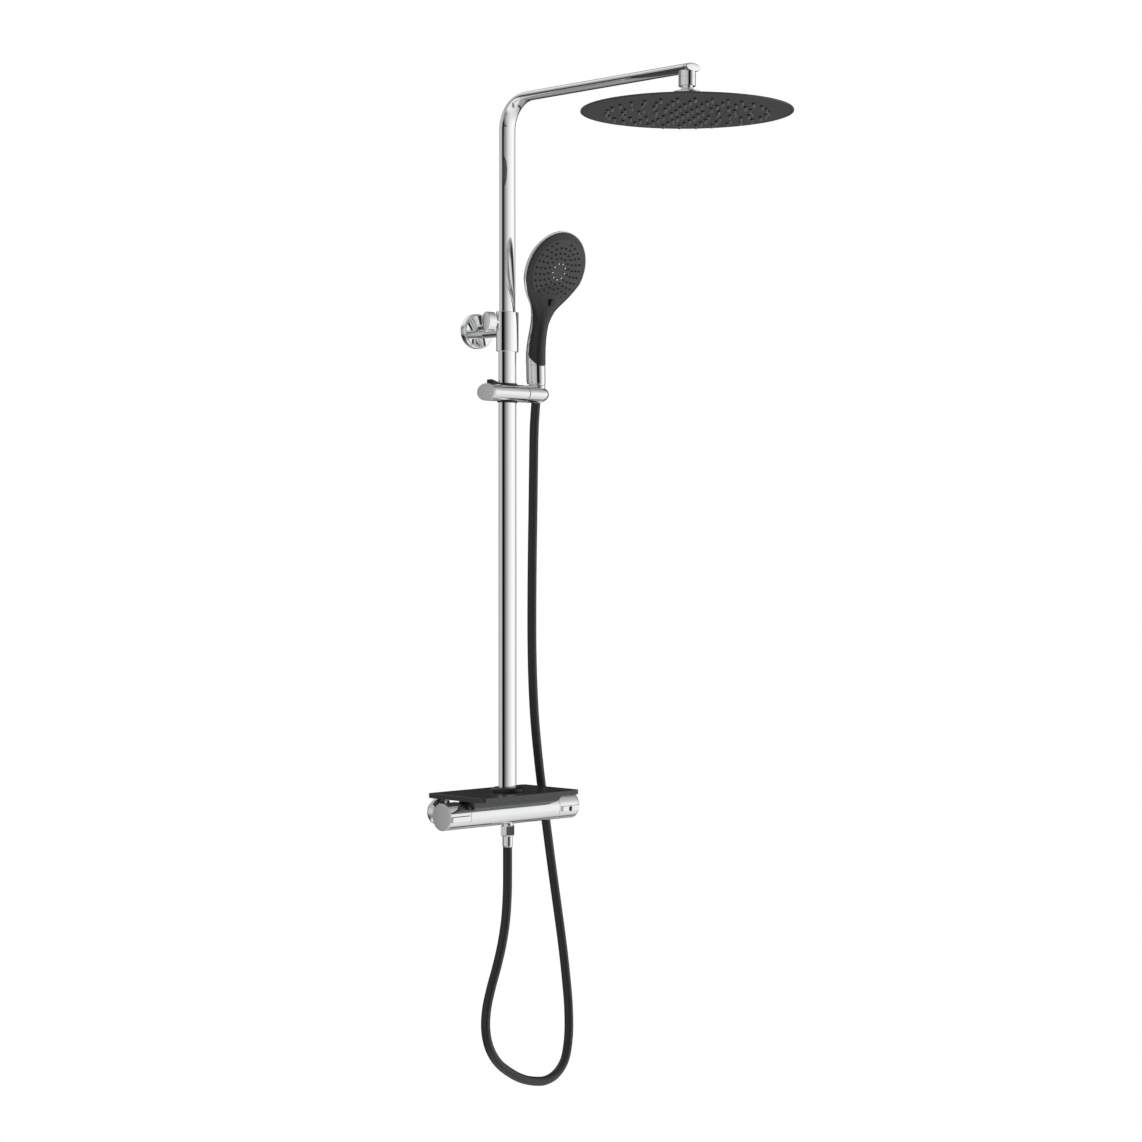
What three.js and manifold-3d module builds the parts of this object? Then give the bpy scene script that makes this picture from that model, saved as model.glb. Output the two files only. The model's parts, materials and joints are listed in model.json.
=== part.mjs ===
// Rainfall shower column with a telescoping riser, an overhead spray, a hand shower on a
// sliding holder, a shelf and a bar mixer, as separate solids. Millimetres, +Z up.
// The origin is the centre of the upper wall bracket's back face; the wall is the plane Y = 0,
// +Y points into the wall and the user stands at -Y.
import * as THREE from 'three';
import { mergeVertices } from 'three/addons/utils/BufferGeometryUtils.js';
import Module from 'manifold-3d';

const wasm = await Module();
wasm.setup();

// ---- Driving dimensions -------------------------------------------------------------------
const WALL_TO_COLUMN = 75;        // wall plane to the riser's centre line
const GAP = 0.3;                  // clearance between neighbouring solids
const SMOOTH = 20;                // facets round a turned piece
const SMALL = 12;                 // facets round a small turned piece
const TINY = 8;                   // facets round a screw
const NOZZLE_FACETS = 4;

const TUBE_WALL = 1.2;
const UPPER_TUBE = { wide: 15.5, deep: 6.25 };    // half axes of the oval sections
const LOWER_TUBE = { wide: 17, deep: 7.75 };
const SLEEVE = { wide: 21, deep: 10.5, half: 30 };

const ARM_Z = 348.9;              // centre line of the horizontal arm
const ARM_REACH = 366;            // riser centre line to the overhead spray's axis
const ARM_OVERRUN = 6;            // arm tube past the spray's axis
const BEND_RADIUS = 46;
const UPPER_TUBE_FOOT = -330;     // lower end of the inner tube, inside the outer tube

const HEAD_RADIUS = 150;
const HEAD_FACE_Z = 287.6;        // underside of the overhead spray
const BALL_RADIUS = 10;
const BALL_Z = 327.1;
const NUT_RADIUS = 12.25;
const NUT_BOTTOM = 323.3;
const NUT_TOP = 335.7;

const SLIDER_Z = -92;             // axis of the hand shower holder
const SLIDER = { deep: 19, high: 13 };
const CRADLE_X = 61;              // hand shower axis, beside the riser
const HANDSET_LEAN = THREE.MathUtils.degToRad(6);
const HANDSET_HEAD_RADIUS = 61;
const HANDSET_HEAD_TILT = THREE.MathUtils.degToRad(15);
const HANDSET_HEAD = { y: -22.3, z: 189.4 };      // face centre, from the holder's axis

const MIXER_Z = -722;
const MIXER_RADIUS = 20;
const BODY_HALF = 92;             // half length of the mixer body
const KNOB_END = 134;             // half length of the mixer over its knobs
const INLET_SPACING = 150;
const SHELF = { half: 101, back: 69, front: -54, top: -693, thick: 7.2 };
const LOWER_TUBE_FOOT = -700;
const HOSE_RADIUS = 7;

// ---- Materials ----------------------------------------------------------------------------
function finish(colour, roughness, metalness) {
  return new THREE.MeshStandardMaterial({ color: colour, roughness, metalness });
}
const chrome = finish(0xd9dcde, 0.08, 1.0);
const brass = finish(0xb9964e, 0.35, 1.0);
const steel = finish(0xa9abad, 0.35, 1.0);
const shelfGrey = finish(0x4a4a4b, 0.3, 0.0);
const faceGrey = finish(0x454546, 0.5, 0.0);
const blackPlastic = finish(0x1b1b1c, 0.4, 0.0);
const hoseBlack = finish(0x2c2c2d, 0.5, 0.0);
const capSatin = finish(0xb9bbba, 0.3, 1.0);
const innerPlastic = finish(0xd8d6cf, 0.5, 0.0);
const rubber = finish(0x161616, 0.8, 0.0);

// ---- Solids -------------------------------------------------------------------------------
// Turns a closed three.js geometry into a solid with its faces pointing out.
function solid(geometry) {
  const bare = geometry.index ? geometry.toNonIndexed() : geometry.clone();
  bare.deleteAttribute('normal');
  bare.deleteAttribute('uv');
  const merged = mergeVertices(bare, 1e-4);
  const vertProperties = new Float32Array(merged.attributes.position.array);
  const triVerts = [];
  const index = merged.index.array;
  for (let i = 0; i < index.length; i += 3) {
    const [a, b, c] = [index[i], index[i + 1], index[i + 2]];
    if (a !== b && b !== c && c !== a) triVerts.push(a, b, c);
  }
  if (signedVolume(vertProperties, triVerts) < 0) triVerts.reverse();
  const mesh = new wasm.Mesh({ numProp: 3, vertProperties, triVerts: Uint32Array.from(triVerts) });
  return new wasm.Manifold(mesh);
}

function signedVolume(points, triangles) {
  const [a, b, c] = [new THREE.Vector3(), new THREE.Vector3(), new THREE.Vector3()];
  let total = 0;
  for (let i = 0; i < triangles.length; i += 3) {
    a.fromArray(points, 3 * triangles[i]);
    b.fromArray(points, 3 * triangles[i + 1]);
    c.fromArray(points, 3 * triangles[i + 2]);
    total += a.dot(b.cross(c));
  }
  return total;
}

function box(x0, x1, y0, y1, z0, z1) {
  const geometry = new THREE.BoxGeometry(x1 - x0, y1 - y0, z1 - z0);
  return solid(geometry.translate((x0 + x1) / 2, (y0 + y1) / 2, (z0 + z1) / 2));
}

// Rod along Z; a second radius makes it taper to its upper end.
function rod(radius, z0, z1, facets = SMOOTH, topRadius = radius) {
  const geometry = new THREE.CylinderGeometry(topRadius, radius, z1 - z0, facets);
  return solid(geometry.rotateX(Math.PI / 2).translate(0, 0, (z0 + z1) / 2));
}

function ring(outer, inner, z0, z1, facets = SMOOTH) {
  return rod(outer, z0, z1, facets).subtract(rod(inner, z0 - 1, z1 + 1, facets));
}

function hexagon(acrossFlats, z0, z1) {
  return rod(acrossFlats / Math.sqrt(3), z0, z1, 6);
}

function ball(radius, x, y, z, facets = SMOOTH) {
  const geometry = new THREE.SphereGeometry(radius, facets, facets / 2);
  return solid(geometry.rotateX(Math.PI / 2).translate(x, y, z));
}

// Solid of revolution about Z from [radius, height] pairs that start and end on the axis.
function turned(profile, facets = SMOOTH) {
  const points = profile.map(([radius, height]) => new THREE.Vector2(radius, height));
  return solid(new THREE.LatheGeometry(points, facets).rotateX(Math.PI / 2));
}

function ellipse(halfX, halfY, facets = SMOOTH) {
  const outline = new THREE.Shape();
  outline.absellipse(0, 0, halfX, halfY, 0, Math.PI * 2, false, 0);
  return new THREE.Shape(outline.getSpacedPoints(facets).slice(0, facets));
}

function extruded(outline, z0, z1) {
  const options = { depth: z1 - z0, bevelEnabled: false };
  return solid(new THREE.ExtrudeGeometry(outline, options).translate(0, 0, z0));
}

// Upright oval rod, wide along X.
function oval(halfX, halfY, z0, z1, facets = SMOOTH) {
  return extruded(ellipse(halfX, halfY, facets), z0, z1);
}

// Lying oval rod along X, deep along Y and high along Z.
function lyingOval(deep, high, x0, x1, facets = SMOOTH) {
  const options = { depth: x1 - x0, bevelEnabled: false };
  const geometry = new THREE.ExtrudeGeometry(ellipse(high, deep, facets), options);
  return solid(geometry.translate(0, 0, x0).rotateY(Math.PI / 2));
}

// A path whose rings are taken at chosen stations instead of at equal distances.
class StationPath extends THREE.Curve {
  constructor(stations) {
    super();
    this.stations = stations;
  }
  at(u) {
    return this.stations[Math.round(u * (this.stations.length - 1))];
  }
  getPoint(u) {
    return this.at(u).point.clone();
  }
  getPointAt(u) {
    return this.at(u).point.clone();
  }
  getTangentAt(u) {
    return this.at(u).tangent.clone();
  }
}

// Oval rod that rises along Z, bends and runs towards -Y; reach and foot are its two ends.
function armSweep(wide, deep, foot, reach, facets = SMOOTH) {
  const stations = [{ point: new THREE.Vector3(0, 0, foot), tangent: new THREE.Vector3(0, 0, 1) }];
  const bendSteps = 7;
  for (let i = 0; i <= bendSteps; i++) {
    const turn = (i / bendSteps) * Math.PI / 2;
    const y = -BEND_RADIUS * (1 - Math.cos(turn));
    const z = ARM_Z - BEND_RADIUS * (1 - Math.sin(turn));
    const tangent = new THREE.Vector3(0, -Math.sin(turn), Math.cos(turn));
    stations.push({ point: new THREE.Vector3(0, y, z), tangent });
  }
  stations.push({ point: new THREE.Vector3(0, -reach, ARM_Z), tangent: new THREE.Vector3(0, -1, 0) });
  const path = new StationPath(stations);
  const options = { steps: stations.length - 1, bevelEnabled: false, extrudePath: path };
  return solid(new THREE.ExtrudeGeometry(ellipse(deep, wide, facets), options));
}

// Centres of spray nozzles on rings: six more nozzles on each ring than on the last.
function nozzleCentres(ringCount, outerRadius) {
  const centres = [[0, 0]];
  for (let k = 1; k <= ringCount; k++) {
    const radius = (outerRadius * k) / ringCount;
    for (let i = 0; i < 6 * k; i++) {
      const angle = (i / (6 * k)) * Math.PI * 2;
      centres.push([radius * Math.cos(angle), radius * Math.sin(angle)]);
    }
  }
  return centres;
}

function joined(solids) {
  return wasm.Manifold.union(solids);
}

// ---- Scene graph --------------------------------------------------------------------------
const shower = new THREE.Group();
const column = new THREE.Group();
column.position.set(0, -WALL_TO_COLUMN, 0);
const mixer = new THREE.Group();                 // local Z runs along the mixer, to +X
mixer.position.set(0, -WALL_TO_COLUMN, MIXER_Z);
mixer.rotation.y = Math.PI / 2;
const holder = new THREE.Group();                // local Z is the hand shower's axis
holder.position.set(CRADLE_X, -WALL_TO_COLUMN, SLIDER_Z);
holder.rotation.x = HANDSET_LEAN;
const handsetHead = new THREE.Group();           // local Z points out of the hand shower's face
handsetHead.position.set(0, HANDSET_HEAD.y, HANDSET_HEAD.z);
handsetHead.rotation.x = Math.PI / 2 + HANDSET_HEAD_TILT;
holder.add(handsetHead);
shower.add(column, mixer, holder);

function add(parent, name, body, material) {
  const { vertProperties, triVerts } = body.getMesh();
  const geometry = new THREE.BufferGeometry();
  geometry.setAttribute('position', new THREE.BufferAttribute(vertProperties, 3));
  geometry.setIndex(new THREE.BufferAttribute(triVerts, 1));
  geometry.computeVertexNormals();
  const mesh = new THREE.Mesh(geometry, material);
  mesh.name = name;
  parent.add(mesh);
}

// ---- Riser: two oval tubes, one sliding in the other --------------------------------------
function hollowOval(size, wall, z0, z1) {
  const bore = oval(size.wide - wall, size.deep - wall, z0 - 1, z1 + 1);
  return oval(size.wide, size.deep, z0, z1).subtract(bore);
}

const arm = armSweep(UPPER_TUBE.wide, UPPER_TUBE.deep, UPPER_TUBE_FOOT, ARM_REACH + ARM_OVERRUN);
const armBore = armSweep(
  UPPER_TUBE.wide - TUBE_WALL, UPPER_TUBE.deep - TUBE_WALL,
  UPPER_TUBE_FOOT - 1, ARM_REACH + ARM_OVERRUN + 1,
);
const outletHole = rod(4, ARM_Z - 12, ARM_Z, SMALL).translate([0, -ARM_REACH, 0]);
add(column, 'riser_upper_tube', arm.subtract(armBore).subtract(outletHole), chrome);

add(column, 'riser_lower_tube', hollowOval(LOWER_TUBE, TUBE_WALL, LOWER_TUBE_FOOT, 26), chrome);

// Plug with a rounded nose that closes the arm.
const capStart = -(ARM_REACH + ARM_OVERRUN) - GAP;
const capNose = ball(1, 0, 0, 0).scale([UPPER_TUBE.wide, 6, UPPER_TUBE.deep])
  .translate([0, capStart, 0])
  .subtract(box(-20, 20, capStart, capStart + 20, -20, 20));
const plug = lyingOval(UPPER_TUBE.wide - TUBE_WALL - GAP, UPPER_TUBE.deep - TUBE_WALL - GAP, 0, 8)
  .rotate([0, 0, 90])
  .translate([0, capStart - 1, 0]);
add(column, 'arm_end_cap', capNose.add(plug).translate([0, 0, ARM_Z]), chrome);

// Guide with two seals at the foot of the inner tube.
const guide = hollowOval({ wide: 14, deep: 4.7 }, 1.4, UPPER_TUBE_FOOT - 16, UPPER_TUBE_FOOT + 12)
  .add(hollowOval({ wide: 15.4, deep: 6.15 }, 2.8, UPPER_TUBE_FOOT - 16, UPPER_TUBE_FOOT - GAP));
add(column, 'inner_tube_guide', guide, innerPlastic);

// ---- Telescope sleeve and wall bracket ----------------------------------------------------
const CLAMP_Z = 14;
const sleeveBore = oval(LOWER_TUBE.wide + GAP, LOWER_TUBE.deep + GAP, -40, 26 + GAP);
const upperBore = oval(UPPER_TUBE.wide + GAP, UPPER_TUBE.deep + GAP, 20, 40);
const clampBore = rod(3.3, -50, 0, SMALL).rotate([0, 90, 0]).translate([0, 0, CLAMP_Z]);
const rodSocket = rod(5, 2, 30, SMALL).rotate([-90, 0, 0]);
const sleeve = oval(SLEEVE.wide, SLEEVE.deep, -SLEEVE.half, SLEEVE.half)
  .subtract(sleeveBore).subtract(upperBore).subtract(clampBore).subtract(rodSocket);
add(column, 'telescope_sleeve', sleeve, chrome);

// Clamp: a screw in the sleeve's side that bears on the inner tube through the outer one.
const clampScrew = rod(3, -44, -LOWER_TUBE.wide - GAP, SMALL).rotate([0, 90, 0]);
const clampGrip = lyingOval(8, 14, -44, -28)
  .subtract(rod(4.2, -50, 0, SMALL).rotate([0, 90, 0]).intersect(box(-40, 0, -9, 9, -9, 9)));
const clampKnob = clampGrip.add(clampScrew).add(lyingOval(7, 13, -45, -43));
add(column, 'clamp_knob', clampKnob.translate([0, 0, CLAMP_Z]), chrome);

// Bracket pieces are made along Z and laid so that they leave the wall towards -Y.
const bracket = new THREE.Group();
bracket.rotation.x = Math.PI / 2;
shower.add(bracket);
const SCREW_PITCH = 13;
const backplate = rod(19, 0, 5).subtract(rod(2.4, -1, 6, TINY).translate([0, SCREW_PITCH, 0]))
  .subtract(rod(2.4, -1, 6, TINY).translate([0, -SCREW_PITCH, 0]));
add(bracket, 'bracket_backplate', backplate, steel);
for (const [name, side] of [['bracket_screw_upper', 1], ['bracket_screw_lower', -1]]) {
  const screw = turned([[0, 0.4], [2, 0.4], [2, 5 + GAP], [4, 5 + GAP], [3.4, 8], [0, 8]], TINY);
  add(bracket, name, screw.translate([0, side * SCREW_PITCH, 0]), steel);
}
const cup = turned([[0, 0], [25, 0], [25, 9], [23.5, 11], [0, 11]])
  .subtract(turned([[0, -1], [22.5, -1], [22.5, 8.5], [0, 8.5]]))
  .subtract(rod(7 + GAP, 0, 20, SMALL));
add(bracket, 'bracket_flange', cup, chrome);
const armRodEnd = WALL_TO_COLUMN - SLEEVE.deep - GAP;
const bracketRod = rod(7, 5 + GAP, armRodEnd, SMALL)
  .add(rod(4.7, armRodEnd - 1, WALL_TO_COLUMN - LOWER_TUBE.deep - 1, SMALL))
  .subtract(oval(SLEEVE.wide + GAP, SLEEVE.deep + GAP, -9, 9)
    .rotate([90, 0, 0]).translate([0, 0, WALL_TO_COLUMN]).subtract(rod(4.8, 50, 80, SMALL)));
add(bracket, 'bracket_rod', bracketRod, chrome);

// ---- Overhead spray -----------------------------------------------------------------------
const head = new THREE.Group();                  // stands on the spray's axis
head.position.set(0, -WALL_TO_COLUMN - ARM_REACH, 0);
shower.add(head);

const armHull = lyingOval(UPPER_TUBE.wide + GAP, UPPER_TUBE.deep + GAP, -40, 40)
  .rotate([0, 0, 90]).translate([0, 0, ARM_Z]);
const boss = rod(NUT_RADIUS, NUT_TOP + GAP, ARM_Z, SMOOTH).subtract(armHull)
  .subtract(rod(4, 330, 350, SMALL));
add(head, 'arm_outlet_boss', boss, chrome);

const socket = ball(BALL_RADIUS + GAP, 0, 0, BALL_Z)
  .add(rod(BALL_RADIUS + GAP, BALL_Z, NUT_TOP + 1, SMOOTH));
add(head, 'swivel_nut', rod(NUT_RADIUS, NUT_BOTTOM, NUT_TOP).subtract(socket), chrome);

const FLANGE_RADIUS = 19.4;
const FLANGE_BOTTOM = 313.8;
const flange = turned([[0, FLANGE_BOTTOM], [FLANGE_RADIUS, FLANGE_BOTTOM], [FLANGE_RADIUS, 316],
  [17.5, 317.4], [10.5, 319], [8.6, 320.5], [8.6, BALL_Z], [0, BALL_Z]]);
const ballTop = box(-20, 20, -20, 20, 334, 350);
const stem = ball(BALL_RADIUS, 0, 0, BALL_Z).subtract(ballTop).add(flange)
  .subtract(rod(3.6, 300, 340, SMALL));
add(head, 'ball_stem', stem, chrome);

// Shallow dish with a hollow inside; the stem's bore opens into it.
const SHELL_TOP = FLANGE_BOTTOM - GAP;
const RIM_INSIDE = HEAD_RADIUS - 3.5;
const HEAD_FACETS = 32;
const shell = turned([[0, SHELL_TOP], [24, SHELL_TOP], [60, 306], [110, 297], [140, 292.6],
  [HEAD_RADIUS - 1, 290.9], [HEAD_RADIUS, 290], [HEAD_RADIUS, HEAD_FACE_Z + 0.3],
  [HEAD_RADIUS - 0.6, HEAD_FACE_Z], [0, HEAD_FACE_Z]].reverse(), HEAD_FACETS);
const shellHollow = turned([[0, SHELL_TOP - 3], [24, SHELL_TOP - 3], [60, 303], [110, 294.6],
  [128, 292.4], [128, 289.9], [RIM_INSIDE, 289.9], [RIM_INSIDE, 280], [0, 280]].reverse(), HEAD_FACETS);
add(head, 'head_shell', shell.subtract(shellHollow).subtract(rod(3.6, 300, 320, SMALL)), faceGrey);

const NOZZLE_RINGS = 5;
const NOZZLE_FIELD = 113.5;
const headNozzles = nozzleCentres(NOZZLE_RINGS, NOZZLE_FIELD);
const faceHoles = headNozzles.map(([x, y]) => rod(3.4, 280, 300, NOZZLE_FACETS).translate([x, y, 0]));
const FACE_TOP = HEAD_FACE_Z + 2;
const facePlate = rod(RIM_INSIDE - GAP, HEAD_FACE_Z, FACE_TOP, HEAD_FACETS)
  .subtract(joined(faceHoles));
add(head, 'head_face_plate', facePlate, faceGrey);

const NOZZLE_DROP = 5.6;
const tips = headNozzles.map(([x, y]) => rod(1.8, HEAD_FACE_Z - NOZZLE_DROP, FACE_TOP + 1, NOZZLE_FACETS, 2.7)
  .translate([x, y, 0]));
const headMat = rod(119, FACE_TOP + GAP, FACE_TOP + 1.5, HEAD_FACETS).add(joined(tips));
add(head, 'head_nozzle_mat', headMat, rubber);
add(head, 'head_seal_ring', ring(127.5, 121, FACE_TOP + GAP, 292, HEAD_FACETS), rubber);

// ---- Hand shower holder -------------------------------------------------------------------
const SLIDER_LEFT = -42;
const SEAM_X = 31;
const brakeOuter = { wide: LOWER_TUBE.wide + 2, deep: LOWER_TUBE.deep + 2 };
const BRAKE_HALF = 14.6;
const buttonPocket = box(-36.3, -21.7, 1.7, 14.3, -7, 20);
const pivotHole = rod(3.3, 20, 40, SMALL).rotate([0, 90, 0]);
const sliderBody = lyingOval(SLIDER.deep, SLIDER.high, SLIDER_LEFT, SEAM_X - GAP)
  .subtract(oval(brakeOuter.wide + GAP, brakeOuter.deep + GAP, -20, 20))
  .subtract(buttonPocket).subtract(pivotHole);
add(column, 'slider_body', sliderBody.translate([0, 0, SLIDER_Z]), chrome);

const sliderCap = lyingOval(SLIDER.deep, SLIDER.high, -44.3, SLIDER_LEFT - GAP)
  .add(lyingOval(SLIDER.deep - 1.2, SLIDER.high - 1.2, -45, -44));
add(column, 'slider_end_cap', sliderCap.translate([0, 0, SLIDER_Z]), capSatin);

const brake = hollowOval(brakeOuter, 2 - GAP, -BRAKE_HALF, BRAKE_HALF);
add(column, 'slider_brake', brake.translate([0, 0, SLIDER_Z]), blackPlastic);

const buttonOutline = new THREE.Shape([[2, -3.5], [14, -3.5], [14, 16], [9, 18], [4, 15]]
  .map(([y, z]) => new THREE.Vector2(z, y)));
const button = extruded(buttonOutline, -36, -22).rotate([0, 90, 0]).scale([1, 1, -1]);
add(column, 'release_button', button.translate([0, 0, SLIDER_Z]), blackPlastic);

// Cradle: round-ended in plan, with a tapered bore on the hand shower's axis.
const plan = new THREE.Shape();
plan.moveTo(SEAM_X, -SLIDER.deep);
plan.lineTo(CRADLE_X, -SLIDER.deep);
plan.absarc(CRADLE_X, 0, SLIDER.deep, -Math.PI / 2, Math.PI / 2, false);
plan.lineTo(SEAM_X, SLIDER.deep);
const cradleBlock = lyingOval(SLIDER.deep, SLIDER.high, SEAM_X, CRADLE_X + 30)
  .intersect(extruded(new THREE.Shape(plan.getPoints(9)), -20, 20))
  .translate([-CRADLE_X, 0, 0]);
const LEAN_DEGREES = THREE.MathUtils.radToDeg(HANDSET_LEAN);
const cradleBore = rod(10.6, -22, 22, SMOOTH, 14.2);
const cradlePin = rod(3, -8, 12, SMALL).rotate([0, 90, 0]);
const cradle = cradleBlock.rotate([-LEAN_DEGREES, 0, 0]).subtract(cradleBore)
  .add(cradlePin.translate([SEAM_X - CRADLE_X, 0, 0]));
add(holder, 'cradle', cradle, chrome);

// ---- Hand shower --------------------------------------------------------------------------
// Handle: two half shells along the holder's axis; the waterway runs between them.
const HANDLE_RADIUS = 13;
const HANDLE_FOOT = 40;
const HANDLE_TOP = 150;
const handleBore = rod(9.5, HANDLE_FOOT - 1, HANDLE_TOP - 12, SMOOTH);
const handleCore = rod(HANDLE_RADIUS, HANDLE_FOOT, HANDLE_TOP, SMOOTH, HANDLE_RADIUS + 1)
  .add(ball(HANDLE_RADIUS + 1, 0, 0, HANDLE_TOP, SMOOTH)).subtract(handleBore);
const NECK_TILT = THREE.MathUtils.radToDeg(HANDSET_HEAD_TILT);

// Places a solid made in the head's frame into the handle's frame.
function onHead(body) {
  return body.rotate([90 + NECK_TILT, 0, 0]).translate([0, HANDSET_HEAD.y, HANDSET_HEAD.z]);
}

const RIM_DEPTH = -9;
const dish = turned([[0, -21.5], [22, -20.5], [45, -16], [57, -11], [60.4, RIM_DEPTH], [0, RIM_DEPTH]],
  HEAD_FACETS);
const dishHollow = turned([[0, -18.5], [21, -17.6], [43, -13.4], [52, -11], [53, RIM_DEPTH + 1],
  [0, RIM_DEPTH + 1]], HEAD_FACETS);
const backHalf = box(-30, 30, GAP / 2, 40, 0, 220);
const rimRoom = rod(HANDSET_HEAD_RADIUS + 1, RIM_DEPTH, 30, HEAD_FACETS);
const backShell = handleCore.intersect(backHalf).subtract(onHead(rimRoom)).add(onHead(dish))
  .subtract(onHead(dishHollow));
add(holder, 'handset_back_shell', backShell, chrome);

const frontRim = turned([[0, RIM_DEPTH + GAP], [60.6, RIM_DEPTH + GAP], [HANDSET_HEAD_RADIUS, -5],
  [59.5, -1], [57, 0], [0, 0]], HEAD_FACETS);
const rimHollow = rod(54, -20, 10, HEAD_FACETS);
const frontHalf = box(-30, 30, -40, -GAP / 2, 0, 220);
const dishClear = turned([[0, -24], [23, -22], [46, -17.5], [59, -12], [64, RIM_DEPTH + GAP],
  [0, RIM_DEPTH + GAP]], HEAD_FACETS);
const frontShell = handleCore.intersect(frontHalf).subtract(onHead(dishClear))
  .add(onHead(frontRim)).subtract(onHead(rimHollow));
add(holder, 'handset_front_shell', frontShell, faceGrey);

const HANDSET_RINGS = 3;
const handsetNozzles = nozzleCentres(HANDSET_RINGS, 46).slice(1);
const LEVER = { half: 3, bottom: -53, top: -43.5 };
const leverSlot = box(-11, 11, LEVER.bottom - 3, LEVER.top + 2, -20, 20);
const handsetHoles = handsetNozzles.map(([x, y]) => rod(2.1, -20, 20, NOZZLE_FACETS).translate([x, y, 0]));
const handsetFace = rod(54 - GAP, -3.2, -0.6, HEAD_FACETS).subtract(joined(handsetHoles))
  .subtract(leverSlot);
const clearOfLever = handsetNozzles.filter(([x, y]) => Math.abs(x) > 13 || y > LEVER.top + 5);
add(handsetHead, 'handset_face', handsetFace, faceGrey);
const handsetTips = clearOfLever.map(([x, y]) => rod(1.5, -5, 0.6, NOZZLE_FACETS, 1.2).translate([x, y, 0]));
const handsetMat = rod(51, -5.2, -3.5, HEAD_FACETS).add(joined(handsetTips)).subtract(leverSlot);
add(handsetHead, 'handset_nozzle_mat', handsetMat, rubber);

// Lever that turns about the face's axis, in a slot of the face.
const lever = box(-LEVER.half, LEVER.half, LEVER.bottom, LEVER.top, -6.4, 9)
  .add(box(-2, 2, LEVER.bottom, 4, -7.8, -6)).add(rod(5, -7.8, -5.6, SMALL));
add(handsetHead, 'spray_selector', lever, blackPlastic);

const collar = turned([[0, 14.5], [13.4, 14.5], [14.6, 18], [14.4, HANDLE_FOOT - GAP],
  [0, HANDLE_FOOT - GAP]], SMOOTH).subtract(rod(9.5, 0, 60, SMOOTH));
add(holder, 'handset_collar', collar, chrome);

const coneNut = rod(10.5, -11, 14.5 - GAP, SMOOTH, 12.9).subtract(rod(8.2, -20, 5, SMALL))
  .subtract(rod(6.5, 0, 20, SMALL));
add(holder, 'hose_cone_nut', coneNut, chrome);
add(holder, 'hose_top_ferrule', ring(7.9, 7 + GAP, -12, 4.5, SMALL), steel);

// ---- Mixer: local Z runs along it, local X points down, local Y to the wall ----------------
const CHAMBER_RADIUS = 16.5;
const CHAMBER_DEPTH = 46;
const INLET_X = INLET_SPACING / 2;
const STUB_END = 31;

// Rod along local Y, from the mixer's axis towards the wall, at one of the two inlets.
function inletRod(radius, y0, y1, side, facets = SMALL) {
  return rod(radius, y0, y1, facets).rotate([-90, 0, 0]).translate([0, 0, side * INLET_X]);
}

let mixerBody = rod(MIXER_RADIUS, -BODY_HALF, BODY_HALF)
  .add(inletRod(12.8, 5, STUB_END, 1)).add(inletRod(12.8, 5, STUB_END, -1));
for (const side of [1, -1]) {
  const near = side > 0 ? CHAMBER_DEPTH : -BODY_HALF - 1;
  const far = side > 0 ? BODY_HALF + 1 : -CHAMBER_DEPTH;
  mixerBody = mixerBody.subtract(rod(CHAMBER_RADIUS, near, far, SMOOTH))
    .subtract(inletRod(8.5, 0, STUB_END + 1, side));
}
const riserPort = rod(5, 0, 30, SMALL).rotate([0, -90, 0]);
const hoseNipple = rod(6, 15, 30, SMALL).rotate([0, 90, 0]);
const hosePort = rod(3.6, 0, 40, SMALL).rotate([0, 90, 0]);
mixerBody = mixerBody.add(hoseNipple).subtract(rod(6, -60, 60, SMALL))
  .subtract(riserPort).subtract(hosePort);
add(mixer, 'mixer_body', mixerBody, chrome);

const cartridge = turned([[0, CHAMBER_DEPTH + 1], [15.5, CHAMBER_DEPTH + 1], [15.5, 68], [13, 70],
  [13, 82], [9, 84], [9, 96], [4.5, 97], [4.5, 112], [0, 112]], SMOOTH)
  .subtract(rod(5, 40, 60, SMALL));
add(mixer, 'thermostat_cartridge', cartridge, brass);
const discCartridge = turned([[0, CHAMBER_DEPTH + 1], [15.5, CHAMBER_DEPTH + 1], [15.5, 74],
  [8, 76], [8, 94], [4.5, 95], [4.5, 112], [0, 112]], SMOOTH).subtract(rod(5, 40, 60, SMALL));
add(mixer, 'flow_cartridge', discCartridge.scale([1, 1, -1]), brass);

// Knob: a sleeve with a grip rib on the front, closed by an inner web that takes the spindle.
const RIB_HALF = 4.5;
const RIB_OUT = 2.6;
const knobSleeve = ring(MIXER_RADIUS, 17.4, BODY_HALF + GAP, KNOB_END - 2.2)
  .add(ring(18, 4.8, 106, 118, SMOOTH));
const rib = box(-RIB_HALF, RIB_HALF, -MIXER_RADIUS - RIB_OUT, -19, 96, KNOB_END - 2.2)
  .rotate([0, 0, 8]);
const stopPocket = box(-3.8, 3.8, -30, -12, 110.2, 117.8).rotate([0, 0, 8]);
add(mixer, 'temperature_knob', knobSleeve.add(rib).subtract(stopPocket), chrome);
add(mixer, 'flow_knob', knobSleeve.add(rib).scale([1, 1, -1]), chrome);
const capStep = KNOB_END - 2.2 + GAP;
const knobCap = turned([[0, 127], [17.1, 127], [17.1, capStep - 0.1], [20.2, capStep], [20.2, 133],
  [19.4, KNOB_END], [0, KNOB_END]], SMOOTH).subtract(rod(15, 120, 130, SMOOTH));
add(mixer, 'temperature_knob_cap', knobCap, capSatin);
add(mixer, 'flow_knob_cap', knobCap.scale([1, 1, -1]), capSatin);
const knobScrew = turned([[0, 112.6], [1.5, 112.6], [1.5, 118 + GAP], [6.4, 118 + GAP],
  [6.4, 120.5], [0, 120.5]], TINY);
add(mixer, 'temperature_knob_screw', knobScrew, steel);
add(mixer, 'flow_knob_screw', knobScrew.scale([1, 1, -1]), steel);
const stopButton = box(-3.5, 3.5, -24.4, -14.5, 110.5, 113.7).rotate([0, 0, 8]);
add(mixer, 'stop_button', stopButton, blackPlastic);

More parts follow.
